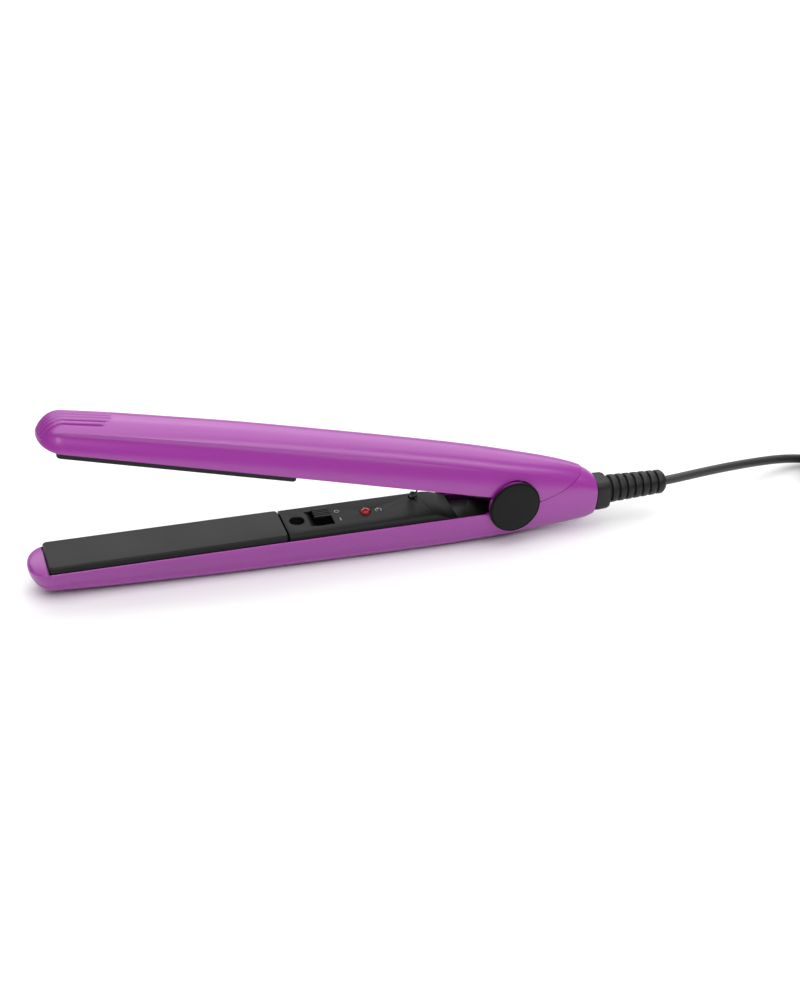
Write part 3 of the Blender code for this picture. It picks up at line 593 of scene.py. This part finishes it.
def hank_route():
    """The stored cord: up through the inner lane's layers, across the top, down the outer lane.

    The first turn lies on the floor in the outer lane and slips inwards on its way back, and the
    last one leaves along the far run, one layer up, towards the plug.
    """
    cx, cy = HANK_CENTRE
    half = HANK_RUN / 2
    top = LAYERS - 1
    route = []

    def height(level):
        return CORD_RADIUS + 0.02 * MM + LAYER * level

    def run(sign, lanes, levels, steps=8):
        """Along the far side towards +X (sign 1) or back along the near side (sign -1)."""
        for k in range(steps):
            u = step_up(k / steps, 0.0, 1.0)
            lane = lanes[0] + (lanes[1] - lanes[0]) * u
            level = levels[0] + (levels[1] - levels[0]) * u
            along = cx - sign * half * (1 - 2 * k / steps)
            route.append(Vector((along, cy + sign * lane, height(level))))

    def fold(sign, lane, levels, steps=18):
        """Round the right end (sign 1) or the left end (sign -1)."""
        for k in range(steps):
            angle = math.pi * (k / steps - 0.5)
            level = levels[0] + (levels[1] - levels[0]) * step_up(k / steps, 0.0, 1.0)
            route.append(Vector((cx + sign * (half + lane * math.cos(angle)),
                                 cy - sign * lane * math.sin(angle), height(level))))

    near, far = -1, 1
    right, left = 1, -1
    run(far, (OUTER_LANE, OUTER_LANE), (0, 0))
    fold(right, OUTER_LANE, (0, 0))
    run(near, (OUTER_LANE, INNER_LANE), (0, 0))
    for level in range(top):
        fold(left, INNER_LANE, (level, level))
        run(far, (INNER_LANE, INNER_LANE), (level, level))
        fold(right, INNER_LANE, (level, level + 1))
        lane = OUTER_LANE if level + 1 == top else INNER_LANE
        run(near, (INNER_LANE, lane), (level + 1, level + 1))
    for level in range(top, 1, -1):
        fold(left, OUTER_LANE, (level, level))
        run(far, (OUTER_LANE, OUTER_LANE), (level, level))
        fold(right, OUTER_LANE, (level, level - 1))
        run(near, (OUTER_LANE, OUTER_LANE), (level - 1, level - 1))
    fold(left, OUTER_LANE, (1, 1))
    run(far, (OUTER_LANE, OUTER_LANE), (1, 1))
    return route


def cord_route():
    lead = curve_through(LEAD + [(HANK_CENTRE[0] - HANK_RUN / 2, PLUG_Y, 0.0019)], 4 * MM)
    stored = hank_route()
    last = stored[-1]
    tail = curve_through([
        (HANK_CENTRE[0] + HANK_RUN / 2, PLUG_Y, last.z), (PLUG_X - 17 * MM, PLUG_Y, last.z + 0.3 * MM),
        (PLUG_X - 8 * MM, PLUG_Y, PLUG_Z - 0.3 * MM), (PLUG_X + 4 * MM, PLUG_Y, PLUG_Z)], 4 * MM)
    return lead[:-1] + stored + tail


def cord_piece():
    curve = bpy.data.curves.new("mains_cord", "CURVE")
    curve.dimensions = "3D"
    curve.bevel_depth = CORD_RADIUS
    curve.bevel_resolution = 4
    curve.use_fill_caps = True
    route = cord_route()
    spline = curve.splines.new("POLY")
    spline.points.add(len(route) - 1)
    for point, place in zip(spline.points, route):
        point.co = (*place, 1.0)
    spline.use_smooth = True
    piece = bpy.data.objects.new("mains_cord", curve)
    bpy.context.collection.objects.link(piece)
    curve.materials.append(LOOKS["cord"])
    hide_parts("cord", "cord_hank", "cord_end")
    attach(piece, "lower_arm")
    return piece


def tie_piece():
    """A thin releasable strap round the hank, dipping a little over the hollow, with its head."""
    cx, cy = HANK_CENTRE
    out = HANK_HALF_WIDTH + 0.1 * MM
    top = HANK_HEIGHT + 0.1 * MM
    outline = rounded_square((cy, top / 2), (out, top / 2), 2.2 * MM)
    thick = 0.9 * MM

    def strap(offset):
        ring = []
        for y, z in outline:
            away = Vector((y - cy, (z - top / 2) * out / (top / 2)))
            away.normalize()
            dip = 0.5 * MM * max(0.0, 1 - abs(y - cy) / (0.7 * out)) if z > top * 0.8 else 0.0
            ring.append((y + away.x * offset, max(0.05 * MM, z + away.y * offset - dip)))
        return ring

    half = 2.6 * MM
    outer, inner = strap(thick), strap(0.0)
    rings = []
    for x, ring in ((-half, inner), (-half, outer), (half, outer), (half, inner)):
        rings.append([(cx + x, y, z) for y, z in ring])
    band = make("hank_strap", loft(rings, closed_along=True))
    soften(band, 0.2 * MM, 2)
    head = box((cx - 3.8 * MM, cx + 3.8 * MM), (cy - out + 3 * MM, cy - out + 8 * MM),
               (top + 0.4 * MM, top + 1.4 * MM))
    carve(band, head, "UNION")
    return finish_piece(band, "lower_arm", "tie", LOOKS["tie"], "hank_tie")


def plug_pieces():
    """A flat two-blade plug with a finger grip, a ribbed neck and rounded blades with holes."""
    cy = PLUG_Y
    rings = []
    for x, half_y, half_z, corner in (
            (0.0, 2.7, 2.7, 2.6), (0.4, 3.1, 3.1, 3.0), (9.0, 4.3, 4.2, 4.0), (12.5, 6.2, 5.2, 4.2),
            (15.5, 9.6, 5.9, 3.6), (18.0, 10.6, 5.9, 3.2), (21.5, 9.9, 5.2, 3.0), (25.0, 10.9, 6.0, 3.0),
            (29.6, 11.3, 6.4, 2.8), (30.6, 11.1, 6.2, 2.6), (31.0, 10.6, 5.7, 2.2)):
        outline = rounded_square((cy, PLUG_Z), (half_y * MM, half_z * MM), corner * MM, 8)
        rings.append([(PLUG_X + x * MM, y, z) for y, z in outline])
    body = make("plug_moulding", loft(rings))
    for k in range(4):
        x = PLUG_X + (2.2 + 2.0 * k) * MM
        groove = [(x, 6.5 * MM), (x + 0.75 * MM, 6.5 * MM)]
        ring = turned_x(groove, PLUG_Z)
        bmesh.ops.translate(ring, verts=ring.verts, vec=(0, cy, 0))
        core = (3.0 + 0.22 * k) * MM
        inner = turned_x([(x - 0.2 * MM, core), (x + 0.95 * MM, core)], PLUG_Z)
        bmesh.ops.translate(inner, verts=inner.verts, vec=(0, cy, 0))
        cutter = make("groove", ring)
        carve(cutter, inner)
        carve(body, taken_back(cutter))
    finish_piece(body, "lower_arm", "plug", LOOKS["plug"], "plug_body")
    blades = []
    for side, name in ENDS:
        y = cy + side * 6.35 * MM
        outline = [(31.3, -3.15), (45.0, -3.15), (46.6, -2.2), (47.0, -0.9),
                   (47.0, 0.9), (46.6, 2.2), (45.0, 3.15), (31.3, 3.15)]
        blade = make(f"blade_{name}", prism_along_y(
            [(PLUG_X + x * MM, PLUG_Z + z * MM) for x, z in outline], (y - 0.75 * MM, y + 0.75 * MM)))
        hole = [(x, z) for x, z in circle((PLUG_X + 43.5 * MM, PLUG_Z), 1.2 * MM, 24)]
        carve(blade, prism_along_y(hole, (y - 2 * MM, y + 2 * MM)))
        soften(blade, 0.2 * MM, 2)
        blades.append(finish_piece(blade, "lower_arm", "blade", LOOKS["blade"], f"plug_blade_{name}"))
    return [body, *blades]


def cord_set():
    cord = cord_piece()
    tie = tie_piece()
    plug = plug_pieces()


# --- arm shells ------------------------------------------------------------------------------


def belly(x):
    return BELLY_AT_HINGE + BELLY_SLOPE * x


def ring_turns(fine):
    """Angles round a section in degrees, closer together at the rims and, if fine, over the back."""
    rim = [0, 0.15, 0.5, 1.0, 1.6, 2.4, 4.0]
    side = spread(6.0, 42.0, 18)[:-1]
    crown = spread(42.0, 90.0, 64 if fine else 20)
    quarter = rim + side + crown
    return quarter + [180 - a for a in reversed(quarter[:-1])]


def crease(turn, x):
    """How far the surface falls in just below the shoulder."""
    turn = min(turn, math.pi - turn)
    below = (CREASE_TURN - turn) * CREASE_REACH
    if below <= 0:
        return 0.0
    return smooth(CREASE_DEPTH, x) * below / CREASE_WIDTH * math.exp(1 - below / CREASE_WIDTH)


def shell_section(x, side, turns, inset=0.0, detailed=True):
    """One ring of an arm's shell: round behind the rims, and flat or swelling between them."""
    nose = max(0.0, (TIP_START - x) / (TIP_START - TIP_X))
    shrink = max(0.0, 1 - nose ** NOSE_PLAN) ** (1 / NOSE_PLAN)
    half = (smooth(SIDE_WIDTHS, x) - inset) * shrink
    level = RIM + TIP_LEVEL * (1 - shrink)
    height = (smooth(BACK_HEIGHTS, x) - inset - TIP_LEVEL) * shrink ** NOSE_FALL + TIP_LEVEL * shrink
    ring = []
    for degrees in turns:
        angle = math.radians(degrees)
        across = half * abs(math.cos(angle)) ** (2 / ROUNDNESS) * math.copysign(1, math.cos(angle))
        depth = height * math.sin(angle) ** (2 / ROUNDNESS)
        if detailed:
            near_rim = max(0.0, RIM_ROUNDING - depth)
            pull = RIM_ROUNDING - math.sqrt(RIM_ROUNDING ** 2 - near_rim ** 2)
            across -= math.copysign(min(pull, abs(across)), across)
            fall = crease(angle, x) * shrink
            across -= fall * math.cos(angle)
            depth -= fall * math.sin(angle) * 0.5
        depth += level
        if side == LOWER:
            depth = min(depth, belly(x) - inset)
        ring.append((x, across, side * depth))
    if detailed:
        edge = ring[-1][1]
        swell = NOSE_CROWN * step_up(-x, 174 * MM, 178 * MM) * shrink
        for share in spread(-1.0, 1.0, 24)[1:-1]:
            depth = level - swell * (1 - share ** 2)
            ring.append((x, -edge * share, side * depth))
    return ring


def arm_places(end, fine_until, fine_step):
    """Sections along an arm: dense round the tip and over its grooves, wider behind them."""
    reach = TIP_START - TIP_X - TIP_SKIN
    places = [TIP_START - reach * math.sin(math.radians(a)) for a in spread(90, 0, 34)[:-1]]
    places += spread(TIP_START, fine_until, round((fine_until - TIP_START) / fine_step))[:-1]
    return places + spread(fine_until, end, round((end - fine_until) / (3 * MM)))


def groove_fall(x, y):
    """Depth of the finger grooves at a place on the upper arm's nose."""
    fall = 0.0
    for k in range(GROOVE_COUNT):
        offset = k - (GROOVE_COUNT - 1) / 2
        distance = (y - offset * GROOVE_PITCH) / GROOVE_WIDTH
        end = GROOVE_END - GROOVE_STAGGER * offset ** 2
        fall += math.exp(-distance ** 2) * (1 - step_up(x, end - 0.9 * MM, end + 0.4 * MM))
    return GROOVE_DEPTH * fall


def tail_body(start, end, inset=0.0, count=14):
    """The lower arm's tail as one rounded form, taller than the split line that trims it."""
    rings = []
    for x in spread(start, end, count):
        half = smooth(SIDE_WIDTHS, x) - inset
        low = smooth(TAIL_BOTTOMS, x) - inset
        high = smooth(TAIL_TOPS, x) + RIM - inset
        ring = []
        for k in range(120):
            angle = math.pi * k / 60
            across = abs(math.cos(angle)) ** (2 / ROUNDNESS) * math.copysign(1, math.cos(angle))
            rise = abs(math.sin(angle)) ** (2 / ROUNDNESS)
            z = -RIM + (high if angle > math.pi else -low) * rise
            ring.append((x, half * across, max(z, -(belly(x) - inset))))
        rings.append(ring)
    return loft(rings)


def seam_block(offset, below):
    """Everything above or below the split line between the upper shell and the tail."""
    line = curve_through([(x * MM, 0, z * MM + offset) for x, z in SEAM], 1.5 * MM)
    outline = [(p.x, p.z) for p in line]
    edge = -40 * MM if below else 40 * MM
    return prism_along_y(outline + [(outline[-1][0], edge), (outline[0][0], edge)], (-20 * MM, 20 * MM))


def rim_rebate(side):
    z = sorted((side * (RIM + REBATE), side * (RIM - 3 * MM)))
    half = HALF_WIDTH - LIP
    return box((NOSE_BACK, -11 * MM), (-half, half), z)


def hollow(side, places):
    """The space inside a shell, through plain sections at the given places in millimetres."""
    turns = spread(0, 180, 40)
    return loft([shell_section(x * MM, side, turns, WALL, detailed=False) for x in places])


def ear_disc(end):
    """The round boss under a hinge cap, square to the narrowing wall."""
    disc = turned_y([(-2.2 * MM, EAR_RADIUS), (-0.3 * MM, EAR_RADIUS), (0, EAR_RADIUS - 0.3 * MM)])
    bmesh.ops.transform(disc, matrix=sideways(end, EAR_FACE), verts=disc.verts)
    return disc


def sideways(end, reach):
    turn = -CAP_TILT if end > 0 else math.pi + CAP_TILT
    return Matrix.Translation((0, end * reach, 0)) @ Matrix.Rotation(turn, 4, "Z")


def lower_shell():
    turns = ring_turns(fine=False)
    places = arm_places(2 * MM, -170 * MM, 2 * MM)
    shell = make("lower_shell", loft([shell_section(x, LOWER, turns) for x in places]),
                 arm_place(LOWER))
    tail = make("tail_form", tail_body(-2 * MM, TAIL_X, 0.12 * MM), arm_place(LOWER))
    soften(tail, 0.8 * MM, 4, 60)
    carve(tail, seam_block(-SEAM_GAP / 2, below=False))
    carve(shell, taken_back(tail), "UNION")
    for end, _ in ENDS:
        carve(shell, ear_disc(end), "UNION")
    carve(shell, hollow(LOWER, LOWER_HOLLOW))
    inner_tail = make("tail_hollow", tail_body(-11 * MM, TAIL_X - TAIL_WALL, WALL, 8), arm_place(LOWER))
    carve(inner_tail, seam_block(-SEAM_GAP / 2 - WALL, below=False))
    carve(shell, taken_back(inner_tail))
    carve(shell, rim_rebate(LOWER))
    carve(shell, box(EAR_GAP, (-SLOT_HALF, SLOT_HALF), (SLOT_FLOOR, 12 * MM)))
    carve(shell, turned_y([(-14 * MM, PIN_HOLE), (14 * MM, PIN_HOLE)], 24))
    carve(shell, turned_x([(TAIL_X - 4 * MM, TAIL_BORE), (TAIL_X + 1 * MM, TAIL_BORE)], SLEEVE_Z))
    post = turned_z((SCREW_X, 0), [(-15.6 * MM, POST_RADIUS), (-7.2 * MM, POST_RADIUS)])
    carve(shell, post, "UNION")
    carve(shell, turned_z((SCREW_X, 0), [(-13.8 * MM, POST_HOLE), (-7 * MM, POST_HOLE)]))
    finish_piece(shell, "lower_arm", "shell", LOOKS["shell"], "lower_housing")


def upper_shell():
    turns = ring_turns(fine=True)
    places = arm_places(UPPER_END, -152 * MM, 0.6 * MM)
    builder = loft([shell_section(x, UPPER, turns) for x in places])
    builder.normal_update()
    falls = [(v, groove_fall(v.co.x, v.co.y)) for v in builder.verts
             if v.co.x < -150 * MM and v.co.z > 5 * MM]
    moves = [(v, v.normal * fall) for v, fall in falls if fall > 1e-6]
    for v, move in moves:
        v.co -= move
    shell = make("upper_shell", builder, arm_place(UPPER))
    carve(shell, hollow(UPPER, UPPER_HOLLOW))
    carve(shell, rim_rebate(UPPER))
    carve(shell, turned_y([(-14 * MM, EAR_RADIUS + 0.6 * MM), (14 * MM, EAR_RADIUS + 0.6 * MM)]))
    seam = seam_block(SEAM_GAP / 2, below=True)
    from_lower_arm = arm_place(UPPER).inverted() @ arm_place(LOWER)
    bmesh.ops.transform(seam, matrix=from_lower_arm, verts=seam.verts)
    carve(shell, seam)
    finish_piece(shell, "upper_arm", "shell", LOOKS["shell"], "upper_housing")


# --- plates, panels and controls -------------------------------------------------------------


def plate_piece(name, side, body, node):
    """A coated plate with rounded edges and corners over its lipped channel."""
    outline = rounded_square((0, 0), ((PLATE_REAR - PLATE_FRONT) / 2, PLATE_HALF), 1.3 * MM, 6)
    middle = (PLATE_REAR + PLATE_FRONT) / 2
    rings = []
    for k in range(7):
        a = math.radians(90 * k / 6)
        pull, depth = PLATE_EDGE * (1 - math.sin(a)), FACE + PLATE_EDGE * (1 - math.cos(a))
        rings.append((pull, depth))
    rings.append((0.0, PLATE_BACK))

    def ring(pull, depth):
        points = []
        for x, y in outline:
            end_pull = min(pull, 0.35 * MM)
            along = middle + x * (1 - end_pull / abs(PLATE_REAR - middle))
            points.append((along, y * (1 - pull / PLATE_HALF), side * depth))
        return points

    piece = make(name, loft([ring(*values) for values in rings]), arm_place(side))
    for end in (-1, 1):
        y = sorted((end * RIB_INSIDE, end * RIB_OUTSIDE))
        z = sorted((side * (PLATE_BACK - 0.1 * MM), side * RIB_DEPTH))
        carve(piece, box((-171.5 * MM, PLATE_REAR - 0.3 * MM), y, z), "UNION")
        y = sorted((end * (RIB_INSIDE - 0.1 * MM), end * CHANNEL_HALF))
        carve(piece, box((-172 * MM, PLATE_REAR), y, sorted((side * PLATE_BACK, side * 5.5 * MM))))
    carve(piece, box((-171 * MM, PLATE_REAR + 1 * MM), (-CHANNEL_HALF, CHANNEL_HALF),
                     sorted((side * (PLATE_BACK - 0.8 * MM), side * (PLATE_BACK + 0.01 * MM)))))
    finish_piece(piece, body, "plate", LOOKS["plate"], node)


def plate_cushions():
    """Two silicone cushions behind the floating plate."""
    place = arm_place(UPPER)
    for end, x in CUSHION_PLACES:
        block = box((x - 4 * MM, x + 4 * MM), (-5.4 * MM, 5.4 * MM), (CUSHION_LOW, CUSHION_TOP))
        cushion = make(f"soft_cushion_{end}", block, place)
        soften(cushion, 0.2 * MM, 3, 60)
        finish_piece(cushion, "upper_arm", "cushion", LOOKS["cushion"], f"plate_cushion_{end}")
        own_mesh(cushion)


def lower_panel():
    """The black cover behind the lower plate, with its screw recess, switch window and lamp hole."""
    top = -FACE
    side_view = [
        (PANEL_FRONT, top), (PANEL_SLOPE_X, top), (-22 * MM, -3.1 * MM), (-21.4 * MM, PANEL_STEP),
        (PANEL_END, PANEL_STEP), (PANEL_END, PANEL_STEP - 1 * MM), (-24 * MM, PANEL_STEP - 1 * MM),
        (-25 * MM, -4.6 * MM), (-30 * MM, -3.4 * MM), (PANEL_FRONT, -3.4 * MM)]
    panel = make("control_panel", prism_along_y(side_view, (-PLATE_HALF, PLATE_HALF)), arm_place(LOWER))
    carve(panel, box((PANEL_END - 1 * MM, TONGUE_END), (-TONGUE_HALF, TONGUE_HALF),
                     (PANEL_STEP - 1 * MM, PANEL_STEP)), "UNION")
    for end in (-1, 1):
        edge = [(end * (PLATE_HALF + 1 * MM), 1 * MM), (end * (PLATE_HALF + 1 * MM), -1.2 * MM),
                (end * PLATE_HALF, -1.2 * MM), (end * (PLATE_HALF - 1.0 * MM), -FACE),
                (end * (PLATE_HALF - 1.0 * MM), 1 * MM)]
        carve(panel, prism_along_x(edge, (-95 * MM, -5 * MM)))
    inside = (-PANEL_INSIDE_HALF, PANEL_INSIDE_HALF)
    carve(panel, box((-87.6 * MM, -40 * MM), inside, (-9 * MM, -1.7 * MM)))
    for end in (-1, 1):
        y = sorted((end * PANEL_SIDE_CUT, end * 12 * MM))
        carve(panel, box((-95 * MM, 0), y, (-9 * MM, -3.3 * MM)))
    carve(panel, turned_z((SCREW_X, 0), [(-6.6 * MM, 3.7 * MM), (-0.6 * MM, 3.7 * MM)]), "UNION")
    recess = [(-5.0 * MM, RECESS_RADIUS - 0.15 * MM), (-0.35 * MM, RECESS_RADIUS),
              (1 * MM, RECESS_RADIUS + 1.3 * MM)]
    carve(panel, turned_z((SCREW_X, 0), recess))
    carve(panel, turned_z((SCREW_X, 0), [(-8 * MM, 1.3 * MM), (-4 * MM, 1.3 * MM)]))
    slot_x, slot_y = SWITCH_SLOT
    carve(panel, box((SWITCH_X - slot_x / 2, SWITCH_X + slot_x / 2), (-slot_y / 2, slot_y / 2),
                     (-4 * MM, 1 * MM)))
    ramp = [(SWITCH_X - slot_x / 2 - 3.2 * MM, 0.3 * MM), (SWITCH_X - slot_x / 2 - 2.6 * MM, -0.1 * MM),
            (SWITCH_X - slot_x / 2 + 0.2 * MM, -1.5 * MM), (SWITCH_X - slot_x / 2 + 0.2 * MM, 0.3 * MM)]
    carve(panel, prism_along_y(ramp, (-slot_y / 2 + 0.3 * MM, slot_y / 2 - 0.3 * MM)))
    lamp_hole = LED_RADIUS + 0.3 * MM
    carve(panel, turned_z((LED_X, 0), [(-4 * MM, lamp_hole), (1 * MM, lamp_hole)]))
    carve(panel, turned_z((SPRING_X, SPRING_Y), [(-2.6 * MM, SPRING_SEAT), (1 * MM, SPRING_SEAT)]))
    soften(panel, 0.18 * MM, 2, 40)
    finish_piece(panel, "lower_arm", "panel", LOOKS["panel"], "lower_panel")


def switch_pieces():
    """The slide switch's knob with its grip grooves and stem, at the far end of its travel."""
    half_x, half_y = KNOB_HALF
    centre = SWITCH_TRAVEL / 2
    block = box((SWITCH_X - half_x, SWITCH_X + half_x), (centre - half_y, centre + half_y),
                (-2.4 * MM, 0.85 * MM))
    knob = make("switch_knob", block, arm_place(LOWER))
    for k in range(4):
        y = centre + (-1.8 + 1.2 * k) * MM
        groove = [(y - 0.32 * MM, 1.2 * MM), (y - 0.12 * MM, 0.45 * MM), (y + 0.12 * MM, 0.45 * MM),
                  (y + 0.32 * MM, 1.2 * MM)]
        carve(knob, prism_along_x(groove, (SWITCH_X - 5 * MM, SWITCH_X + 5 * MM)))
    stem = box((SWITCH_X - 0.9 * MM, SWITCH_X + 0.9 * MM), (centre - 2.3 * MM, centre + 2.3 * MM),
               (-3.9 * MM, -2.2 * MM))
    carve(knob, stem, "UNION")
    soften(knob, 0.15 * MM, 2, 40)
    finish_piece(knob, "switch_knob", "slider", LOOKS["slider"], "switch_slider")


def lamp_pieces():
    """The power lamp: a domed red lens over a darker core."""
    profile = [(-5.8 * MM, LED_RADIUS), (-0.5 * MM, LED_RADIUS)]
    for k in range(9):
        a = math.radians(88 * k / 8)
        profile.append((-0.3 * MM + LED_RADIUS * 0.8 * math.sin(a), LED_RADIUS * math.cos(a)))
    lens = make("lamp_lens", turned_z((LED_X, 0), profile), arm_place(LOWER))
    finish_piece(lens, "lower_arm", "lamp", LOOKS["lamp"], "power_lamp", sharp=50)
    core = [(0, 0.1), (0.04, 0.45), (0.0, 0.62), (-0.3, 0.66)]
    profile = [(1.27 * MM + z * MM, r * MM) for z, r in reversed(core)]
    spot = make("lamp_spot", turned_z((LED_X, 0), profile, 32), arm_place(LOWER))
    finish_piece(spot, "lower_arm", "lamp", LOOKS["bulb"])


def printed(name, strokes, centre, size, turn):
    """A thin printed mark on the panel, from strokes given as (points, width) about its middle."""
    builder = bmesh.new()
    for points, width in strokes:
        for (x0, y0), (x1, y1) in zip(points, points[1:]):
            along = Vector((x1 - x0, y1 - y0))
            across = Vector((-along.y, along.x)).normalized() * width / 2
            corners = [Vector((x0, y0)) - across, Vector((x1, y1)) - across,
                       Vector((x1, y1)) + across, Vector((x0, y0)) + across]
            low = [builder.verts.new((c.x, c.y, 0.0)) for c in corners]
            high = [builder.verts.new((c.x, c.y, 0.04 / size)) for c in corners]
            builder.faces.new(reversed(low))
            builder.faces.new(high)
            for i in range(4):
                j = (i + 1) % 4
                builder.faces.new((low[i], low[j], high[j], high[i]))
    place = Matrix.Translation((centre[0], centre[1], -FACE - 0.01 * MM))
    place = place @ Matrix.Rotation(turn, 4, "Z") @ Matrix.Scale(size * MM, 4)
    bmesh.ops.transform(builder, matrix=place, verts=builder.verts)
    piece = make(name, builder, arm_place(LOWER))
    finish_piece(piece, "lower_arm", "panel", LOOKS["mark"])


def panel_marks():
    """Plain symbols: a ring and a bar beside the switch, a ring with a bar beside the lamp."""

    def arc(first, last):
        turns = [math.radians(a) for a in range(first, last, 20)]
        return [(math.cos(a) * 0.5, math.sin(a) * 0.5) for a in turns]

    ring, broken = arc(0, 361), arc(-50, 231)
    bar = [(0, -0.5), (0, 0.5)]
    beside = SWITCH_X + 6.4 * MM
    printed("mark_off", [(ring, 0.16)], (beside, 2.9 * MM), 1.7, 0)
    printed("mark_on", [(bar, 0.2)], (beside, -2.9 * MM), 1.9, 0)
    power = [(broken, 0.14), ([(0, 0.08), (0, 0.66)], 0.16)]
    printed("mark_power", power, (LED_X + 5.2 * MM, 0.0), 2.3, 0)


def hinge_caps():
    for end, name in ENDS:
        profile = [(-CAP_THICK, CAP_RADIUS - 0.3 * MM), (-CAP_THICK + 0.25 * MM, CAP_RADIUS),
                   (-0.4 * MM, CAP_RADIUS), (-0.2 * MM, CAP_RADIUS - 0.06 * MM),
                   (-0.12 * MM, CAP_RADIUS - 0.2 * MM), (-0.4 * MM, CAP_RADIUS - 0.3 * MM),
                   (-0.4 * MM, CAP_RADIUS - 0.55 * MM), (-0.06 * MM, CAP_RADIUS - 0.7 * MM),
                   (0.0, CAP_RADIUS - 0.95 * MM), (0.07 * MM, 0.5 * CAP_RADIUS), (0.1 * MM, 0.3 * MM)]
        disc = turned_y(profile, 96)
        bmesh.ops.transform(disc, matrix=sideways(end, CAP_FACE), verts=disc.verts)
        cap = make(f"cap_{name}", disc, arm_place(LOWER))
        finish_piece(cap, "lower_arm", "cap", LOOKS["cap"], f"hinge_cap_{name}", sharp=40)


def spring_piece():
    """The coil between the arms, as they stand at rest."""
    lower, upper = arm_place(LOWER), arm_place(UPPER)
    start = Vector((SPRING_X, SPRING_Y, -2.1 * MM))
    end = lower.inverted() @ upper @ Vector((SPRING_X, SPRING_Y, 2.8 * MM))
    turns, steps, wire = 8, 24, 0.3 * MM
    count = turns * steps
    rings = []
    for k in range(count + 1):
        share = k / count
        rise = step_up(share, 0.0, 1.0) * 0.35 + share * 0.65
        angle = 2 * math.pi * k / steps
        away = Vector((math.cos(angle), math.sin(angle), 0))
        place = start.lerp(end, rise) + away * SPRING_RADIUS
        rings.append([place + away * a + Vector((0, 0, b)) for a, b in circle((0, 0), wire, 10)])
    piece = make("opening_coil", loft(rings), lower)
    finish_piece(piece, "lower_arm", "spring_steel", LOOKS["coil"], "opening_spring", sharp=60)
    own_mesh(piece)


def strain_relief():
    """The soft bushing: a flange block, then a tapering sleeve with seven ribs."""
    collar = TAIL_X / MM - 2.5
    neck = [(collar - 0.4, 4.6), (collar, 4.6), (collar, 3.2), (collar + 4, 3.2), (collar + 4, 4.6)]
    start, end = FLANGE[1] / MM, SLEEVE_END / MM
    ribs = 7
    pitch = (end - start - 1.6) / ribs
    profile = neck + [(start - 0.2, 4.6)]
    for k in range(ribs):
        x = start + pitch * k
        radius = 5.6 - 0.75 * k / (ribs - 1)
        deep = radius - 1.0
        profile += [(x + 0.15, deep), (x + 0.75, deep), (x + 0.95, radius - 0.25),
                    (x + 1.1, radius - 0.06), (x + 1.35, radius), (x + pitch - 0.4, radius - 0.04),
                    (x + pitch - 0.12, radius - 0.14), (x + pitch, radius - 0.4)]
    profile += [(end - 1.3, 4.3), (end - 1.0, 4.15), (end - 0.4, 3.5), (end - 0.05, 2.6), (end, 1.9)]
    body = make("cord_bushing", turned_x([(x * MM, r * MM) for x, r in profile], SLEEVE_Z, 64),
                arm_place(LOWER))
    rings = []
    for x, pull in ((FLANGE[0], 0.5), (FLANGE[0] + 0.4 * MM, 0.05), (FLANGE[0] + 1.2 * MM, 0.0),
                    (FLANGE[1] - 1.6 * MM, 0.1), (FLANGE[1] - 0.5 * MM, 0.45), (FLANGE[1], 1.1)):
        half = 6.2 * MM - pull * MM
        outline = rounded_square((0, SLEEVE_Z - 0.4 * MM), (half, half), 2.8 * MM, 8)
        rings.append([(x, y, z) for y, z in outline])
    carve(body, loft(rings), "UNION")
    finish_piece(body, "lower_arm", "relief", LOOKS["relief"], "strain_relief")


def carried_over():
    """Better materials for the CAD's own pieces that stay."""
    kept = {
        "tray": ["lower_plate_tray", "upper_plate_tray", "cord_clamp"],
        "heater": ["lower_heater", "upper_heater"],
        "spring_steel": ["lower_heater_clip", "upper_heater_clip"],
        "screw_steel": ["panel_screw", "thermal_cutoff", "hinge_pin", "clamp_screw_near",
                        "clamp_screw_far"],
        "bush": ["hinge_bush_near", "hinge_bush_far"],
        "panel": ["switch_body", "upper_panel"],
        "board": ["circuit_board"],
        "cord": ["cable_end"],
        "lead": [f"{run}_lead_{end}" for run in ("supply", "lower_heater", "hinge", "upper_heater")
                 for _, end in ENDS],
    }
    for look, names in kept.items():
        for name in names:
            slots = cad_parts[name].material_slots
            if not slots:
                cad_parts[name].data.materials.append(LOOKS[look])
            for slot in slots:
                slot.material = LOOKS[look]


LOOKS = looks()
camera()
cord_set()
studio()
lower_shell()
upper_shell()
plate_piece("lower_hot_plate", LOWER, "lower_arm", "lower_plate")
plate_piece("upper_hot_plate", UPPER, "floating_plate", "upper_plate")
plate_cushions()
lower_panel()
switch_pieces()
lamp_pieces()
panel_marks()
hinge_caps()
spring_piece()
strain_relief()
carried_over()
